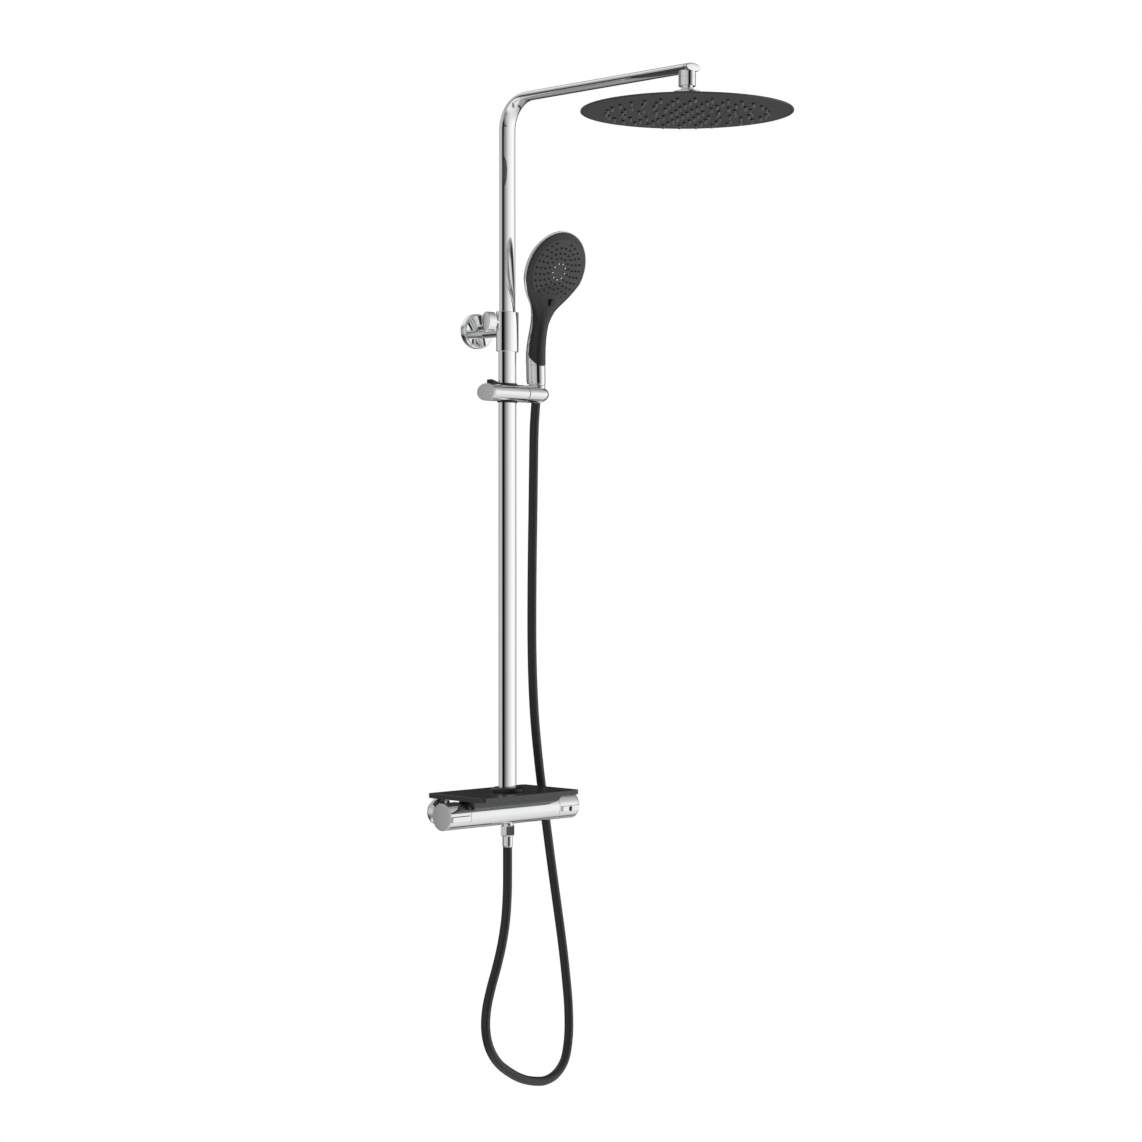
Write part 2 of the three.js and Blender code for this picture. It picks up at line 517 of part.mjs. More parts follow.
// Inlets: nut and filter on the mixer's stub, eccentric union, rosette on the wall.
for (const [side, word] of [[-1, 'left'], [1, 'right']]) {
  const nut = hexagon(30, 24, 46).rotate([-90, 0, 0]).translate([0, 0, side * INLET_X])
    .subtract(inletRod(12.8 + GAP, 20, 36.8, side)).subtract(inletRod(10.8, 30, 50, side));
  add(mixer, `inlet_nut_${word}`, nut, chrome);
  const filter = inletRod(12.6, STUB_END + GAP, 33.5, side).subtract(inletRod(5, 20, 40, side));
  add(mixer, `inlet_filter_${word}`, filter, rubber);
  const union = inletRod(12.6, 34, 36.5, side).add(inletRod(10.5, 36, 76 + 8, side))
    .add(inletRod(12, 47, 59, side, SMALL))
    .subtract(inletRod(6.5, 30, 90, side))
    .subtract(rod(3.4, -20, -10.4, SMALL).rotate([0, 90, 0])
      .translate([0, 53, side * INLET_X]));
  add(mixer, `inlet_union_${word}`, union, chrome);
  const shutoff = rod(3.1, -17.4, -10.8, SMALL).rotate([0, 90, 0])
    .translate([0, 53, side * INLET_X]);
  add(mixer, `shutoff_screw_${word}`, shutoff, steel);
  const rosette = turned([[0, 0], [20.5, 0], [20.5, 3], [19, 9], [15, 12], [0, 12]])
    .subtract(turned([[0, -1], [18.4, -1], [18.4, 3], [16.8, 8], [13.8, 10], [0, 10]]))
    .subtract(rod(10.8, -1, 20, SMALL))
    .rotate([90, 0, 0]).translate([0, WALL_TO_COLUMN, side * INLET_X]);
  add(mixer, `wall_rosette_${word}`, rosette, chrome);
}

// Bottom outlet: hose nut on the body's nipple, and ferrule.
const HOSE_START = 55;            // below the mixer's axis
const hoseNut = hexagon(19, 21.8, 37.8).subtract(rod(6.3, 15, 31, SMALL))
  .subtract(rod(4, 20, 40, SMALL)).rotate([0, 90, 0]);
add(mixer, 'hose_bottom_nut', hoseNut, chrome);
const bottomFerrule = ring(7.8, 4, 37.8 + GAP, HOSE_START - GAP, SMALL).rotate([0, 90, 0]);
add(mixer, 'hose_bottom_ferrule', bottomFerrule, chrome);

// ---- Shelf and the riser's foot -----------------------------------------------------------
const SHELF_BOTTOM = SHELF.top - SHELF.thick;
const CORNER = 7;
function shelfOutline(inset) {
  const [x, back, front, r] = [SHELF.half - inset, SHELF.back - inset, SHELF.front + inset, CORNER - inset];
  const outline = new THREE.Shape();
  outline.moveTo(-x + r, front);
  outline.lineTo(x - r, front);
  outline.absarc(x - r, front + r, r, -Math.PI / 2, 0, false);
  outline.lineTo(x, back - r);
  outline.absarc(x - r, back - r, r, 0, Math.PI / 2, false);
  outline.lineTo(-x + r, back);
  outline.absarc(-x + r, back - r, r, Math.PI / 2, Math.PI, false);
  outline.lineTo(-x, front + r);
  outline.absarc(-x + r, front + r, r, Math.PI, Math.PI * 1.5, false);
  return new THREE.Shape(outline.getPoints(5));
}
const RISER_HOLE = { wide: LOWER_TUBE.wide + GAP, deep: LOWER_TUBE.deep + GAP };
const riserHole = oval(RISER_HOLE.wide, RISER_HOLE.deep, -750, -650);
const SHELF_SCREWS = 46;
const screwHoles = [-SHELF_SCREWS, SHELF_SCREWS]
  .map((x) => rod(2.2, -730, -697, TINY).translate([x, 38, 0]));
const shelfPlate = extruded(shelfOutline(0), SHELF_BOTTOM, SHELF.top - 0.8)
  .add(extruded(shelfOutline(0.8), SHELF.top - 1, SHELF.top))
  .subtract(riserHole).subtract(joined(screwHoles));
add(column, 'shelf_plate', shelfPlate, shelfGrey);

// Saddle under the plate, cut to sit on the mixer body and open over the inlets.
const mixerHull = rod(MIXER_RADIUS + GAP, -200, 200).rotate([0, 90, 0]).translate([0, 0, MIXER_Z]);
const inletRoom = [-INLET_X, INLET_X].map((x) => box(x - 19, x + 19, 10, 80, -760, -690));
const saddle = box(-90, 90, -24, 52, -714.5, SHELF_BOTTOM - GAP)
  .subtract(mixerHull).subtract(joined(inletRoom)).subtract(riserHole)
  .subtract(joined(screwHoles)).subtract(box(-95, 95, 21, 60, -730, -708));
add(column, 'shelf_saddle', saddle, shelfGrey);
for (const [name, x] of [['shelf_screw_left', -SHELF_SCREWS], ['shelf_screw_right', SHELF_SCREWS]]) {
  const screw = turned([[0, -711], [3.6, -711], [3.6, -708.3], [1.9, -708.3], [1.9, -697.4],
    [0, -697.4]], TINY);
  add(column, name, screw.translate([x, 38, 0]), steel);
}

const collarTop = SHELF.top + 7;
const baseCollar = rod(24.5, SHELF.top + GAP, collarTop - 2)
  .add(rod(24.5, collarTop - 2.1, collarTop, SMOOTH, 22.5)).subtract(riserHole);
add(column, 'riser_base_collar', baseCollar, blackPlastic);
const riserNipple = ring(4.7, 3, -709, -655, SMALL).add(ring(6.4, 3, -684, -655, SMALL));
add(column, 'riser_nipple', riserNipple, brass);

// ---- Hose ---------------------------------------------------------------------------------
// Route by hand from the hand shower's nut down past the shelf's right-hand end, round the
// bottom of the loop and up into the mixer's outlet. X, Y from the riser, Z from the origin.
const hosePoints = [
  [61, 0.9, -100.5], [61, 2.6, -117], [61.2, 5, -142], [62.6, 8, -200], [63.9, 10.5, -262],
  [65.4, 13.5, -330], [67.4, 16.5, -400], [71.3, 20.5, -470], [78.5, 26, -532], [88, 31.5, -590],
  [100.5, 36.5, -650], [113.5, 40, -710], [125.5, 41.5, -770], [135.5, 41, -828],
  [143.5, 38, -885], [150, 34, -941], [153.8, 29, -997], [153.2, 23, -1045],
  [146.5, 17, -1090], [132, 11.5, -1121], [110, 8.5, -1138], [86, 6.2, -1143.5],
  [60, 4.5, -1140.5], [34, 3.2, -1133], [8, 2.2, -1120], [-19, 1.2, -1100.5],
  [-37, 0.5, -1076], [-45, 0.1, -1048], [-43.5, 0, -1018], [-34.5, 0, -987],
  [-22.5, 0, -956], [-11.5, 0, -922], [-4, 0, -886], [-0.6, 0, -848], [0, 0, -812],
  [0, 0, MIXER_Z - HOSE_START],
].map(([x, y, z]) => new THREE.Vector3(x, y, z));
const HOSE_STEPS = 54;
const route = new THREE.CatmullRomCurve3(hosePoints, false, 'centripetal');
const hoseOptions = { steps: HOSE_STEPS, bevelEnabled: false, extrudePath: route };
const hose = new THREE.ExtrudeGeometry(ellipse(HOSE_RADIUS, HOSE_RADIUS, 8), hoseOptions);
add(column, 'hose', solid(hose), hoseBlack);

export default shower;
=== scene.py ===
# %% [markdown]
# A rainfall shower column: chrome oval tubes, a broad overhead spray, a hand shower on a black
# hose, a small shelf and a bar mixer. The CAD frame gives every place and every moving body.
# Here each visible piece gets its finished surface and its material.

# %% Load the fixed frame
import json
import math

import bmesh
import bpy
from mathutils import Matrix, Vector


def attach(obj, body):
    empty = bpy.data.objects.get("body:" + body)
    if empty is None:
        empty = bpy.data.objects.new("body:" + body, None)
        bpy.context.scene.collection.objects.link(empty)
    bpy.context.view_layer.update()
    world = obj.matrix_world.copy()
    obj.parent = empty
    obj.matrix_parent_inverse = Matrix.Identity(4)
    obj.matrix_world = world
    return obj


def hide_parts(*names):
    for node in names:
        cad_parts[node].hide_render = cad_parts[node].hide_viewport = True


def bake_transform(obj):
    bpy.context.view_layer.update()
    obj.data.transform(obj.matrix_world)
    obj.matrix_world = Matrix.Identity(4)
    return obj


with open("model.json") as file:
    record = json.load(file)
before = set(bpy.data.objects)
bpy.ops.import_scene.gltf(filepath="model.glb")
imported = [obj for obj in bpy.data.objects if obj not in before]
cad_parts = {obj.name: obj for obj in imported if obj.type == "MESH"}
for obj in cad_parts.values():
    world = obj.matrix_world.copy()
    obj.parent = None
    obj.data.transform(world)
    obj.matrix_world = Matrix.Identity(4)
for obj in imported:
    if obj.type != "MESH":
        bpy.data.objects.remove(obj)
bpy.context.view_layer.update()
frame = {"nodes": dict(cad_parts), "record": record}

# %% [markdown]
# The camera stands at the left front, a little below the middle of the column, and looks almost
# level. A long lens keeps the uprights parallel, which suits a tall, slim object.

# %% Camera
LENS = 81.43
CAMERA_PLACE = (-2.6853, -2.8962, -0.3134)
CAMERA_TURN = math.radians(-44.996)
CAMERA_DIP = math.radians(-0.687)
camera_data = bpy.data.cameras.new("camera")
camera_data.lens = LENS
camera_data.sensor_width = 36
camera = bpy.data.objects.new("camera", camera_data)
camera.location = CAMERA_PLACE
camera.rotation_euler = (math.radians(90) + CAMERA_DIP, 0, CAMERA_TURN)
bpy.context.scene.collection.objects.link(camera)
bpy.context.scene.camera = camera

# %% [markdown]
# Shader maths reads best as plain expressions. A small class wraps a socket so that adding or
# multiplying two of them writes the Math node that does it.

# %% Shader helper
class Wire:
    """A number that varies over a surface: the output socket of a node in one material."""

    def __init__(self, look, socket):
        self.look = look
        self.socket = socket

    def math(self, operation, other=0.0, swap=False):
        first, second = (other, self) if swap else (self, other)
        return self.look.node("ShaderNodeMath", {"operation": operation}, {0: first, 1: second})

    def __add__(self, other):
        return self.math("ADD", other)

    __radd__ = __add__

    def __sub__(self, other):
        return self.math("SUBTRACT", other)

    def __rsub__(self, other):
        return self.math("SUBTRACT", other, swap=True)

    def __mul__(self, other):
        return self.math("MULTIPLY", other)

    __rmul__ = __mul__


class Look:
    """One material: a Principled shader and the nodes that feed it."""

    def __init__(self, name, **constants):
        self.material = bpy.data.materials.new(name)
        self.material.use_nodes = True
        self.tree = self.material.node_tree
        self.shader = next(n for n in self.tree.nodes if n.type == "BSDF_PRINCIPLED")
        for socket, value in constants.items():
            self.shader.inputs[socket.replace("_", " ")].default_value = value

    def node(self, kind, settings=None, inputs=None, output=0):
        made = self.tree.nodes.new(kind)
        for key, value in (settings or {}).items():
            setattr(made, key, value)
        for key, value in (inputs or {}).items():
            self.join(value, made.inputs[key])
        return Wire(self, made.outputs[output])

    def join(self, value, socket):
        if isinstance(value, Wire):
            self.tree.links.new(value.socket, socket)
        else:
            socket.default_value = value

    def place(self):
        return self.node("ShaderNodeTexCoord", output="Object")

    def noise(self, scale, detail=2.0, stretch=(1, 1, 1), rough=0.5):
        inputs = {"Vector": self.place(), "Scale": stretch}
        spread = self.node("ShaderNodeMapping", None, inputs)
        settings = {"Vector": spread, "Scale": scale, "Detail": detail, "Roughness": rough}
        return self.node("ShaderNodeTexNoise", None, settings, output="Fac")

    def blend(self, factor, first, second):
        mixed = self.node("ShaderNodeMix", {"data_type": "RGBA"}, {"Factor": factor}, output=2)
        mix_node = mixed.socket.node
        mix_node.inputs[6].default_value = (*first, 1)
        mix_node.inputs[7].default_value = (*second, 1)
        return mixed

    def feed(self, socket, value):
        self.join(value, self.shader.inputs[socket])

    def bump(self, height, strength, distance):
        inputs = {"Height": height, "Strength": strength, "Distance": distance}
        self.feed("Normal", self.node("ShaderNodeBump", None, inputs, output="Normal"))


# %% [markdown]
# Chrome plate is a clean mirror with a trace of water film and handling: faint clouds in the
# roughness and a ripple far too shallow to see except in a long reflection.

# %% Chrome
def polished(name, colour, low, high, cloud_scale=14.0):
    """Plated or bare metal with a roughness between low and high."""
    look = Look(name, Metallic=1.0)
    clouds = look.noise(cloud_scale, detail=3.0)
    specks = look.noise(420.0, detail=1.0)
    look.feed("Roughness", low + (high - low) * clouds + 0.012 * specks)
    darker = tuple(0.97 * c for c in colour)
    look.feed("Base Color", look.blend(clouds, colour, darker))
    look.bump(look.noise(55.0, detail=1.0), 0.02, 0.0002)
    return look.material


chrome = polished("chrome", (0.955, 0.96, 0.965), 0.01, 0.035)
steel = polished("steel", (0.6, 0.6, 0.61), 0.22, 0.36, 40.0)
brass = polished("brass", (0.66, 0.49, 0.22), 0.2, 0.34, 40.0)

# %% [markdown]
# The flat end caps are plated too, but brushed to a satin: fine parallel lines, drawn out of
# noise that is finer across than along, spread the reflection into an even light grey.

# %% Satin caps
def brushed(name, colour, rough):
    """Metal with fine parallel lines."""
    look = Look(name, Metallic=1.0)
    lines = look.noise(30.0, detail=3.0, stretch=(40.0, 1.2, 40.0), rough=0.6)
    look.feed("Base Color", look.blend(lines, tuple(0.9 * c for c in colour), colour))
    look.feed("Roughness", rough - 0.05 + 0.12 * lines)
    look.bump(lines, 0.12, 0.00003)
    return look.material


cap_grey = brushed("cap_grey", (0.98, 0.985, 0.98), 0.16)

# %% [markdown]
# The moulded parts are satin plastics. Their surface is a very fine pebble, so they get a small
# bump, a slight drift in colour and a roughness that follows the pebble.


# %% Plastics
def moulded(name, colour, rough, grain=900.0, depth=0.00004, drift=0.08, coat=0.0):
    """Plastic with a pebbled skin; the grain sets how fine and the depth how deep it is."""
    look = Look(name, Coat_Weight=coat, Coat_Roughness=0.08)
    pebble = look.noise(grain, detail=2.0)
    clouds = look.noise(9.0, detail=4.0)
    lighter = tuple(min(1.0, c * (1 + drift)) for c in colour)
    darker = tuple(c * (1 - drift) for c in colour)
    look.feed("Base Color", look.blend(clouds, darker, lighter))
    look.feed("Roughness", rough - 0.05 + 0.06 * clouds + 0.05 * pebble)
    look.bump(pebble, 0.35, depth)
    return look.material


shelf_grey = moulded("shelf_grey", (0.050, 0.050, 0.052), 0.24, 1500.0, 0.00001, 0.04, 0.2)
face_grey = moulded("face_grey", (0.050, 0.050, 0.052), 0.42)
# The overhead spray is the same grey plastic as face_grey; this copy is made lighter as painted light,
# standing in for light from below that its underside lacks.
face_grey_painted_light = moulded("face_grey_painted_light", (0.066, 0.066, 0.068), 0.42)
shell_grey = moulded("shell_grey", (0.030, 0.030, 0.031), 0.36)
black_plastic = moulded("black_plastic", (0.012, 0.012, 0.013), 0.34)
inner_plastic = moulded("inner_plastic", (0.68, 0.66, 0.6), 0.45)
silicone = moulded("silicone", (0.011, 0.011, 0.011), 0.62, 700.0, 0.00006)

# %% [markdown]
# The overhead spray's soft nozzles are grey rubber, painted near black where they leave the plate
# as painted shade for the shadow there. Their height is the same for all, so it can drive the colour.

# %% Nozzle rubber
NOZZLE_FOOT, NOZZLE_TIP = 0.2876, 0.2816
# From this share of a nozzle's height up to the plate, the colour is painted shade.
PAINTED_SHADE_FROM = 0.7


def nozzle_rubber():
    look = Look("nozzle_grey")
    upward = look.node("ShaderNodeSeparateXYZ", None, {"Vector": look.place()}, output="Z")
    span = {"Value": upward, "From Min": NOZZLE_TIP, "From Max": NOZZLE_FOOT}
    height = look.node("ShaderNodeMapRange", None, span, output="Result")
    body = height.math("LESS_THAN", PAINTED_SHADE_FROM)
    pebble = look.noise(700.0)
    # Near black at the roots is painted shadow where the nozzles meet the plate; the grey is the
    # rubber.
    look.feed("Base Color", look.blend(body, (0.006, 0.006, 0.006), (0.26, 0.26, 0.262)))
    look.feed("Roughness", 0.42 + 0.12 * pebble)
    look.bump(pebble, 0.3, 0.00004)
    return look.material


nozzle_grey = nozzle_rubber()

# %% [markdown]
# The hose has a smooth black skin over a wound core, which shows as fine rings. The rings follow
# the hose, so they read a distance that is stored along it, and not a place in space.

# %% Hose skin
hose_look = Look("hose_black", Coat_Weight=0.08, Coat_Roughness=0.3)
RING_PITCH = 0.0032
along = hose_look.node("ShaderNodeAttribute", {"attribute_name": "along"}, output="Fac")
turns = (2 * math.pi / RING_PITCH) * along
rings = turns.math("SINE")
scuffs = hose_look.noise(60.0, detail=4.0)
hose_look.feed("Base Color", hose_look.blend(scuffs, (0.024, 0.024, 0.025), (0.034, 0.034, 0.035)))
hose_look.feed("Roughness", 0.36 + 0.14 * scuffs)
hose_look.bump(rings, 0.25, 0.00008)
hose_black = hose_look.material

# %% [markdown]
# The hose is laid first, because everything else has to leave it room. It leaves the mixer's
# outlet, hangs in one free loop and climbs behind the shelf's end to the hand shower.

# %% Hose
COLUMN_Y = -0.075
HOSE_DIAMETER = 0.014
OUTLET_Z = -0.777
hose_points = [
    (0.061, 0.0009, -0.1005), (0.061, 0.0026, -0.117), (0.0612, 0.005, -0.142),
    (0.0626, 0.008, -0.2), (0.0639, 0.0105, -0.262), (0.0654, 0.0135, -0.33),
    (0.0674, 0.0165, -0.4), (0.0713, 0.0205, -0.47), (0.0785, 0.026, -0.532),
    (0.088, 0.0315, -0.59), (0.1005, 0.0365, -0.65), (0.1135, 0.04, -0.71),
    (0.1255, 0.0415, -0.77), (0.1355, 0.041, -0.828), (0.1435, 0.038, -0.885),
    (0.15, 0.034, -0.941), (0.1538, 0.029, -0.997), (0.1532, 0.023, -1.045),
    (0.1465, 0.017, -1.09), (0.132, 0.0115, -1.121), (0.11, 0.0085, -1.138),
    (0.086, 0.0062, -1.1435), (0.06, 0.0045, -1.1405), (0.034, 0.0032, -1.133),
    (0.008, 0.0022, -1.12), (-0.019, 0.0012, -1.1005), (-0.037, 0.0005, -1.076),
    (-0.045, 0.0001, -1.048), (-0.0435, 0, -1.018), (-0.0345, 0, -0.987),
    (-0.0225, 0, -0.956), (-0.0115, 0, -0.922), (-0.004, 0, -0.886),
    (-0.0006, 0, -0.848), (0, 0, -0.812), (0, 0, OUTLET_Z),
]


def smooth_route(points, steps_between):
    """Points on a centripetal Catmull-Rom curve through the given ones."""
    given = [Vector((x, y + COLUMN_Y, z)) for x, y, z in points]
    given = [2 * given[0] - given[1], *given, 2 * given[-1] - given[-2]]
    route = []
    for a, b, c, d in zip(given, given[1:], given[2:], given[3:]):
        t1 = (b - a).length ** 0.5
        t2 = t1 + (c - b).length ** 0.5
        t3 = t2 + (d - c).length ** 0.5
        for step in range(steps_between):
            t = t1 + (t2 - t1) * step / steps_between
            ab = a + (b - a) * (t / t1)
            bc = b + (c - b) * ((t - t1) / (t2 - t1))
            cd = c + (d - c) * ((t - t2) / (t3 - t2))
            abc = ab + (bc - ab) * (t / t2)
            bcd = bc + (cd - bc) * ((t - t1) / (t3 - t1))
            route.append(abc + (bcd - abc) * ((t - t1) / (t2 - t1)))
    return [*route, given[-2]]


hose_route = smooth_route(hose_points, 12)
hose_length = sum((b - a).length for a, b in zip(hose_route, hose_route[1:]))
print("hose length in metres:", round(hose_length, 3))


def tube_mesh(name, route, radius, sides):
    """A closed round tube along a route, with its distance from the start stored as along."""
    curve = bpy.data.curves.new(name, "CURVE")
    curve.dimensions = "3D"
    curve.bevel_depth = radius
    curve.bevel_resolution = sides // 4 - 1
    curve.use_fill_caps = True
    spline = curve.splines.new("POLY")
    spline.points.add(len(route) - 1)
    for point, place in zip(spline.points, route):
        point.co = (*place, 1)
    holder = bpy.data.objects.new(name, curve)
    bpy.context.scene.collection.objects.link(holder)
    bpy.context.view_layer.update()
    mesh = bpy.data.meshes.new_from_object(holder.evaluated_get(bpy.context.evaluated_depsgraph_get()))
    bpy.data.objects.remove(holder)
    mesh.name = name
    distances = [0.0]
    for a, b in zip(route, route[1:]):
        distances.append(distances[-1] + (b - a).length)
    stored = mesh.attributes.new("along", "FLOAT", "POINT")
    per_ring = len(mesh.vertices) / len(route)
    values = [distances[min(int(i / per_ring), len(route) - 1)] for i in range(len(mesh.vertices))]
    stored.data.foreach_set("value", values)
    mesh.shade_smooth()
    return mesh


HOSE_SIDES = 24
hose_mesh = tube_mesh("shower_hose", hose_route, HOSE_DIAMETER / 2, HOSE_SIDES)
hose = bpy.data.objects.new("shower_hose", hose_mesh)
bpy.context.scene.collection.objects.link(hose)
hose.data.materials.append(hose_black)
print("hose faces:", len(hose_mesh.polygons), "vertices:", len(hose_mesh.vertices))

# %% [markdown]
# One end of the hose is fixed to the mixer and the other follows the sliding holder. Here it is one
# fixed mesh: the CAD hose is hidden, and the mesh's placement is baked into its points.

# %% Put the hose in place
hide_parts("hose")
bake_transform(hose)

# %% [markdown]
# Most of a shower column is turned, drawn or bent metal, so most pieces start as a profile that
# is spun on a lathe. A stop of the profile is a radius, a height and, where the edge is eased, a
# rounding. Squeezing the lathe's circle gives the oval sections. Lengths here are millimetres.

# %% Modelling helpers
MM = 0.001
ROUND = 72


def is_edge(part):
    return isinstance(part, bmesh.types.BMEdge)


def is_vert(part):
    return isinstance(part, bmesh.types.BMVert)


def soften(bm, edges, width, segments=3):
    """Rounds the given edges over, with the same width on both sides."""
    bmesh.ops.bevel(
        bm, geom=edges, affect="EDGES", offset=width, offset_type="OFFSET",
        segments=segments, profile=0.5, material=-1, clamp_overlap=True,
    )


def turned(profile, segments=ROUND, squeeze=(1, 1), tube=False):
    """A lathe job about Z. A tube's profile closes on itself instead of on the axis."""
    bm = bmesh.new()
    stops = [(*stop, 0)[:3] for stop in profile]
    dots = [bm.verts.new((radius, 0, height)) for radius, height, _ in stops]
    pairs = [*zip(dots, dots[1:]), *([(dots[-1], dots[0])] if tube else [])]
    lines = [bm.edges.new(pair) for pair in pairs]
    bmesh.ops.spin(
        bm, geom=dots + lines, cent=(0, 0, 0), axis=(0, 0, 1), angle=2 * math.pi,
        steps=segments, use_merge=True,
    )
    bmesh.ops.remove_doubles(bm, verts=bm.verts, dist=0.0001)
    bmesh.ops.recalc_face_normals(bm, faces=bm.faces)
    wide, deep = squeeze
    bmesh.ops.scale(bm, vec=(wide, deep, 1), verts=bm.verts)
    for radius, height, rounding in stops:
        if rounding:
            soften(bm, ring_edges(bm, radius, height, squeeze), rounding)
    return bm


def ring_edges(bm, radius, height, squeeze=(1, 1)):
    """The edges that run round the lathe at one stop of the profile."""
    wide, deep = squeeze

    def on_ring(vert):
        reach = math.hypot(vert.co.x / wide, vert.co.y / deep)
        return abs(reach - radius) < 0.002 * radius and abs(vert.co.z - height) < 0.001

    return [edge for edge in bm.edges if all(on_ring(vert) for vert in edge.verts)]


def bar(half_x, half_y, low, high, rounding=0.0, segments=ROUND):
    """An upright round or oval bar with eased ends."""
    profile = [(0, low), (1, low, rounding), (1, high, rounding), (0, high)]
    return turned(profile, segments, (half_x, half_y))


def block(x0, x1, y0, y1, z0, z1, corner=0.0, ease=0.0):
    """A box with rounded upright corners and eased top and bottom edges."""
    bm = bmesh.new()
    bmesh.ops.create_cube(bm, size=1)
    bmesh.ops.scale(bm, vec=(x1 - x0, y1 - y0, z1 - z0), verts=bm.verts)
    middle = ((x0 + x1) / 2, (y0 + y1) / 2, (z0 + z1) / 2)
    bmesh.ops.translate(bm, vec=middle, verts=bm.verts)
    if corner:
        upright = [e for e in bm.edges if abs(e.verts[0].co.z - e.verts[1].co.z) > 0.001]
        soften(bm, upright, corner, 8)
    if ease:
        sharp = [e for e in bm.edges if e.calc_face_angle(0) > math.radians(40)]
        soften(bm, sharp, ease, 3)
    return bm


def moved(bm, matrix):
    """The same piece, turned and shifted by a matrix."""
    bmesh.ops.transform(bm, matrix=matrix, verts=bm.verts)
    return bm


def merged(*parts):
    """Several bmeshes gathered into the first one."""
    whole = parts[0]
    for part in parts[1:]:
        carrier = bpy.data.meshes.new("carrier")
        part.to_mesh(carrier)
        part.free()
        whole.from_mesh(carrier)
        bpy.data.meshes.remove(carrier)
    return whole


def carved(bm, *cutters):
    """The piece with the cutters' shapes taken out of it."""
    objects = []
    for part in (bm, *cutters):
        bmesh.ops.recalc_face_normals(part, faces=part.faces)
        mesh = bpy.data.meshes.new("carving")
        part.to_mesh(mesh)
        part.free()
        objects.append(bpy.data.objects.new("carving", mesh))
        bpy.context.scene.collection.objects.link(objects[-1])
    for cutter in objects[1:]:
        cut = objects[0].modifiers.new("cut", "BOOLEAN")
        cut.operation = "DIFFERENCE"
        cut.solver = "EXACT"
        cut.object = cutter
    bpy.context.view_layer.update()
    carved_mesh = objects[0].evaluated_get(bpy.context.evaluated_depsgraph_get()).to_mesh()
    result = bmesh.new()
    result.from_mesh(carved_mesh)
    for carving in objects:
        mesh = carving.data
        bpy.data.objects.remove(carving)
        bpy.data.meshes.remove(mesh)
    return result


def shift(x, y, z):
    return Matrix.Translation((x, y, z))


def turn(degrees, axis):
    return Matrix.Rotation(math.radians(degrees), 4, axis)


record = frame["record"]
body_of = {node: body for body, nodes in record["behaviour"]["bodies"].items() for node in nodes}
slot_of = {part["node"]: part["material_slot"] for part in record["subparts"]}
looks = {
    "chrome": chrome, "steel": steel, "brass": brass, "shelf_grey": shelf_grey,
    "face_grey": face_grey, "black_plastic": black_plastic, "cap_grey": cap_grey,
    "inner_plastic": inner_plastic, "rubber": silicone, "hose_black": hose_black,
}


def keep(bm, name, *nodes, place=None, look=None, sharp=32):
    """Turns a finished bmesh in millimetres into a piece that stands for some CAD nodes."""
    bmesh.ops.remove_doubles(bm, verts=bm.verts, dist=0.0005)
    matrix = Matrix.Scale(MM, 4) @ (place or Matrix.Identity(4))
    bmesh.ops.transform(bm, matrix=matrix, verts=bm.verts)
    bmesh.ops.recalc_face_normals(bm, faces=bm.faces)
    mesh = bpy.data.meshes.new(name)
    bm.to_mesh(mesh)
    bm.free()
    mesh.shade_smooth()
    mesh.set_sharp_from_angle(angle=math.radians(sharp))
    piece = bpy.data.objects.new(name, mesh)
    bpy.context.scene.collection.objects.link(piece)
    shading = piece.modifiers.new("even shading", "WEIGHTED_NORMAL")
    shading.keep_sharp = True
    mesh.materials.append(look or looks[slot_of[nodes[0]]])
    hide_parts(*nodes)
    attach(piece, body_of[nodes[0]])
    print(name, "has", len(mesh.polygons), "faces")
    return piece


# Where the main parts stand, in millimetres and degrees.
AXIS_Y = -75
SPRAY_Y = -441
MIXER_Z = -722
HOLDER_Z = -92
CRADLE_X = 61
HANDLE_LEAN = 6
HEAD_TILT = 15
HEAD_MIDDLE_Y, HEAD_MIDDLE_Z = -22.3, 189.4
COLUMN = shift(0, AXIS_Y, 0)
HEAD = shift(0, SPRAY_Y, 0)
MIXER = shift(0, AXIS_Y, MIXER_Z) @ turn(90, "Y")
BRACKET = turn(90, "X")
SLIDER = shift(0, AXIS_Y, HOLDER_Z)
HOLDER = shift(CRADLE_X, AXIS_Y, HOLDER_Z) @ turn(HANDLE_LEAN, "X")
HANDSET_HEAD = HOLDER @ shift(0, HEAD_MIDDLE_Y, HEAD_MIDDLE_Z) @ turn(90 + HEAD_TILT, "X")
ALONG_X = turn(90, "Y")

# %% [markdown]
# The riser is two oval tubes, the upper one sliding in the lower, and the upper one bends over
# into the arm. The bend is a spin of the oval about a centre in front of it, so it stays true.

# %% Riser and arm
UPPER_WIDE, UPPER_DEEP = 15.5, 6.25
LOWER_WIDE, LOWER_DEEP = 17, 7.75
ARM_Z = 348.9
BEND_RADIUS = 46
UPPER_FOOT = -330
ARM_END = -372


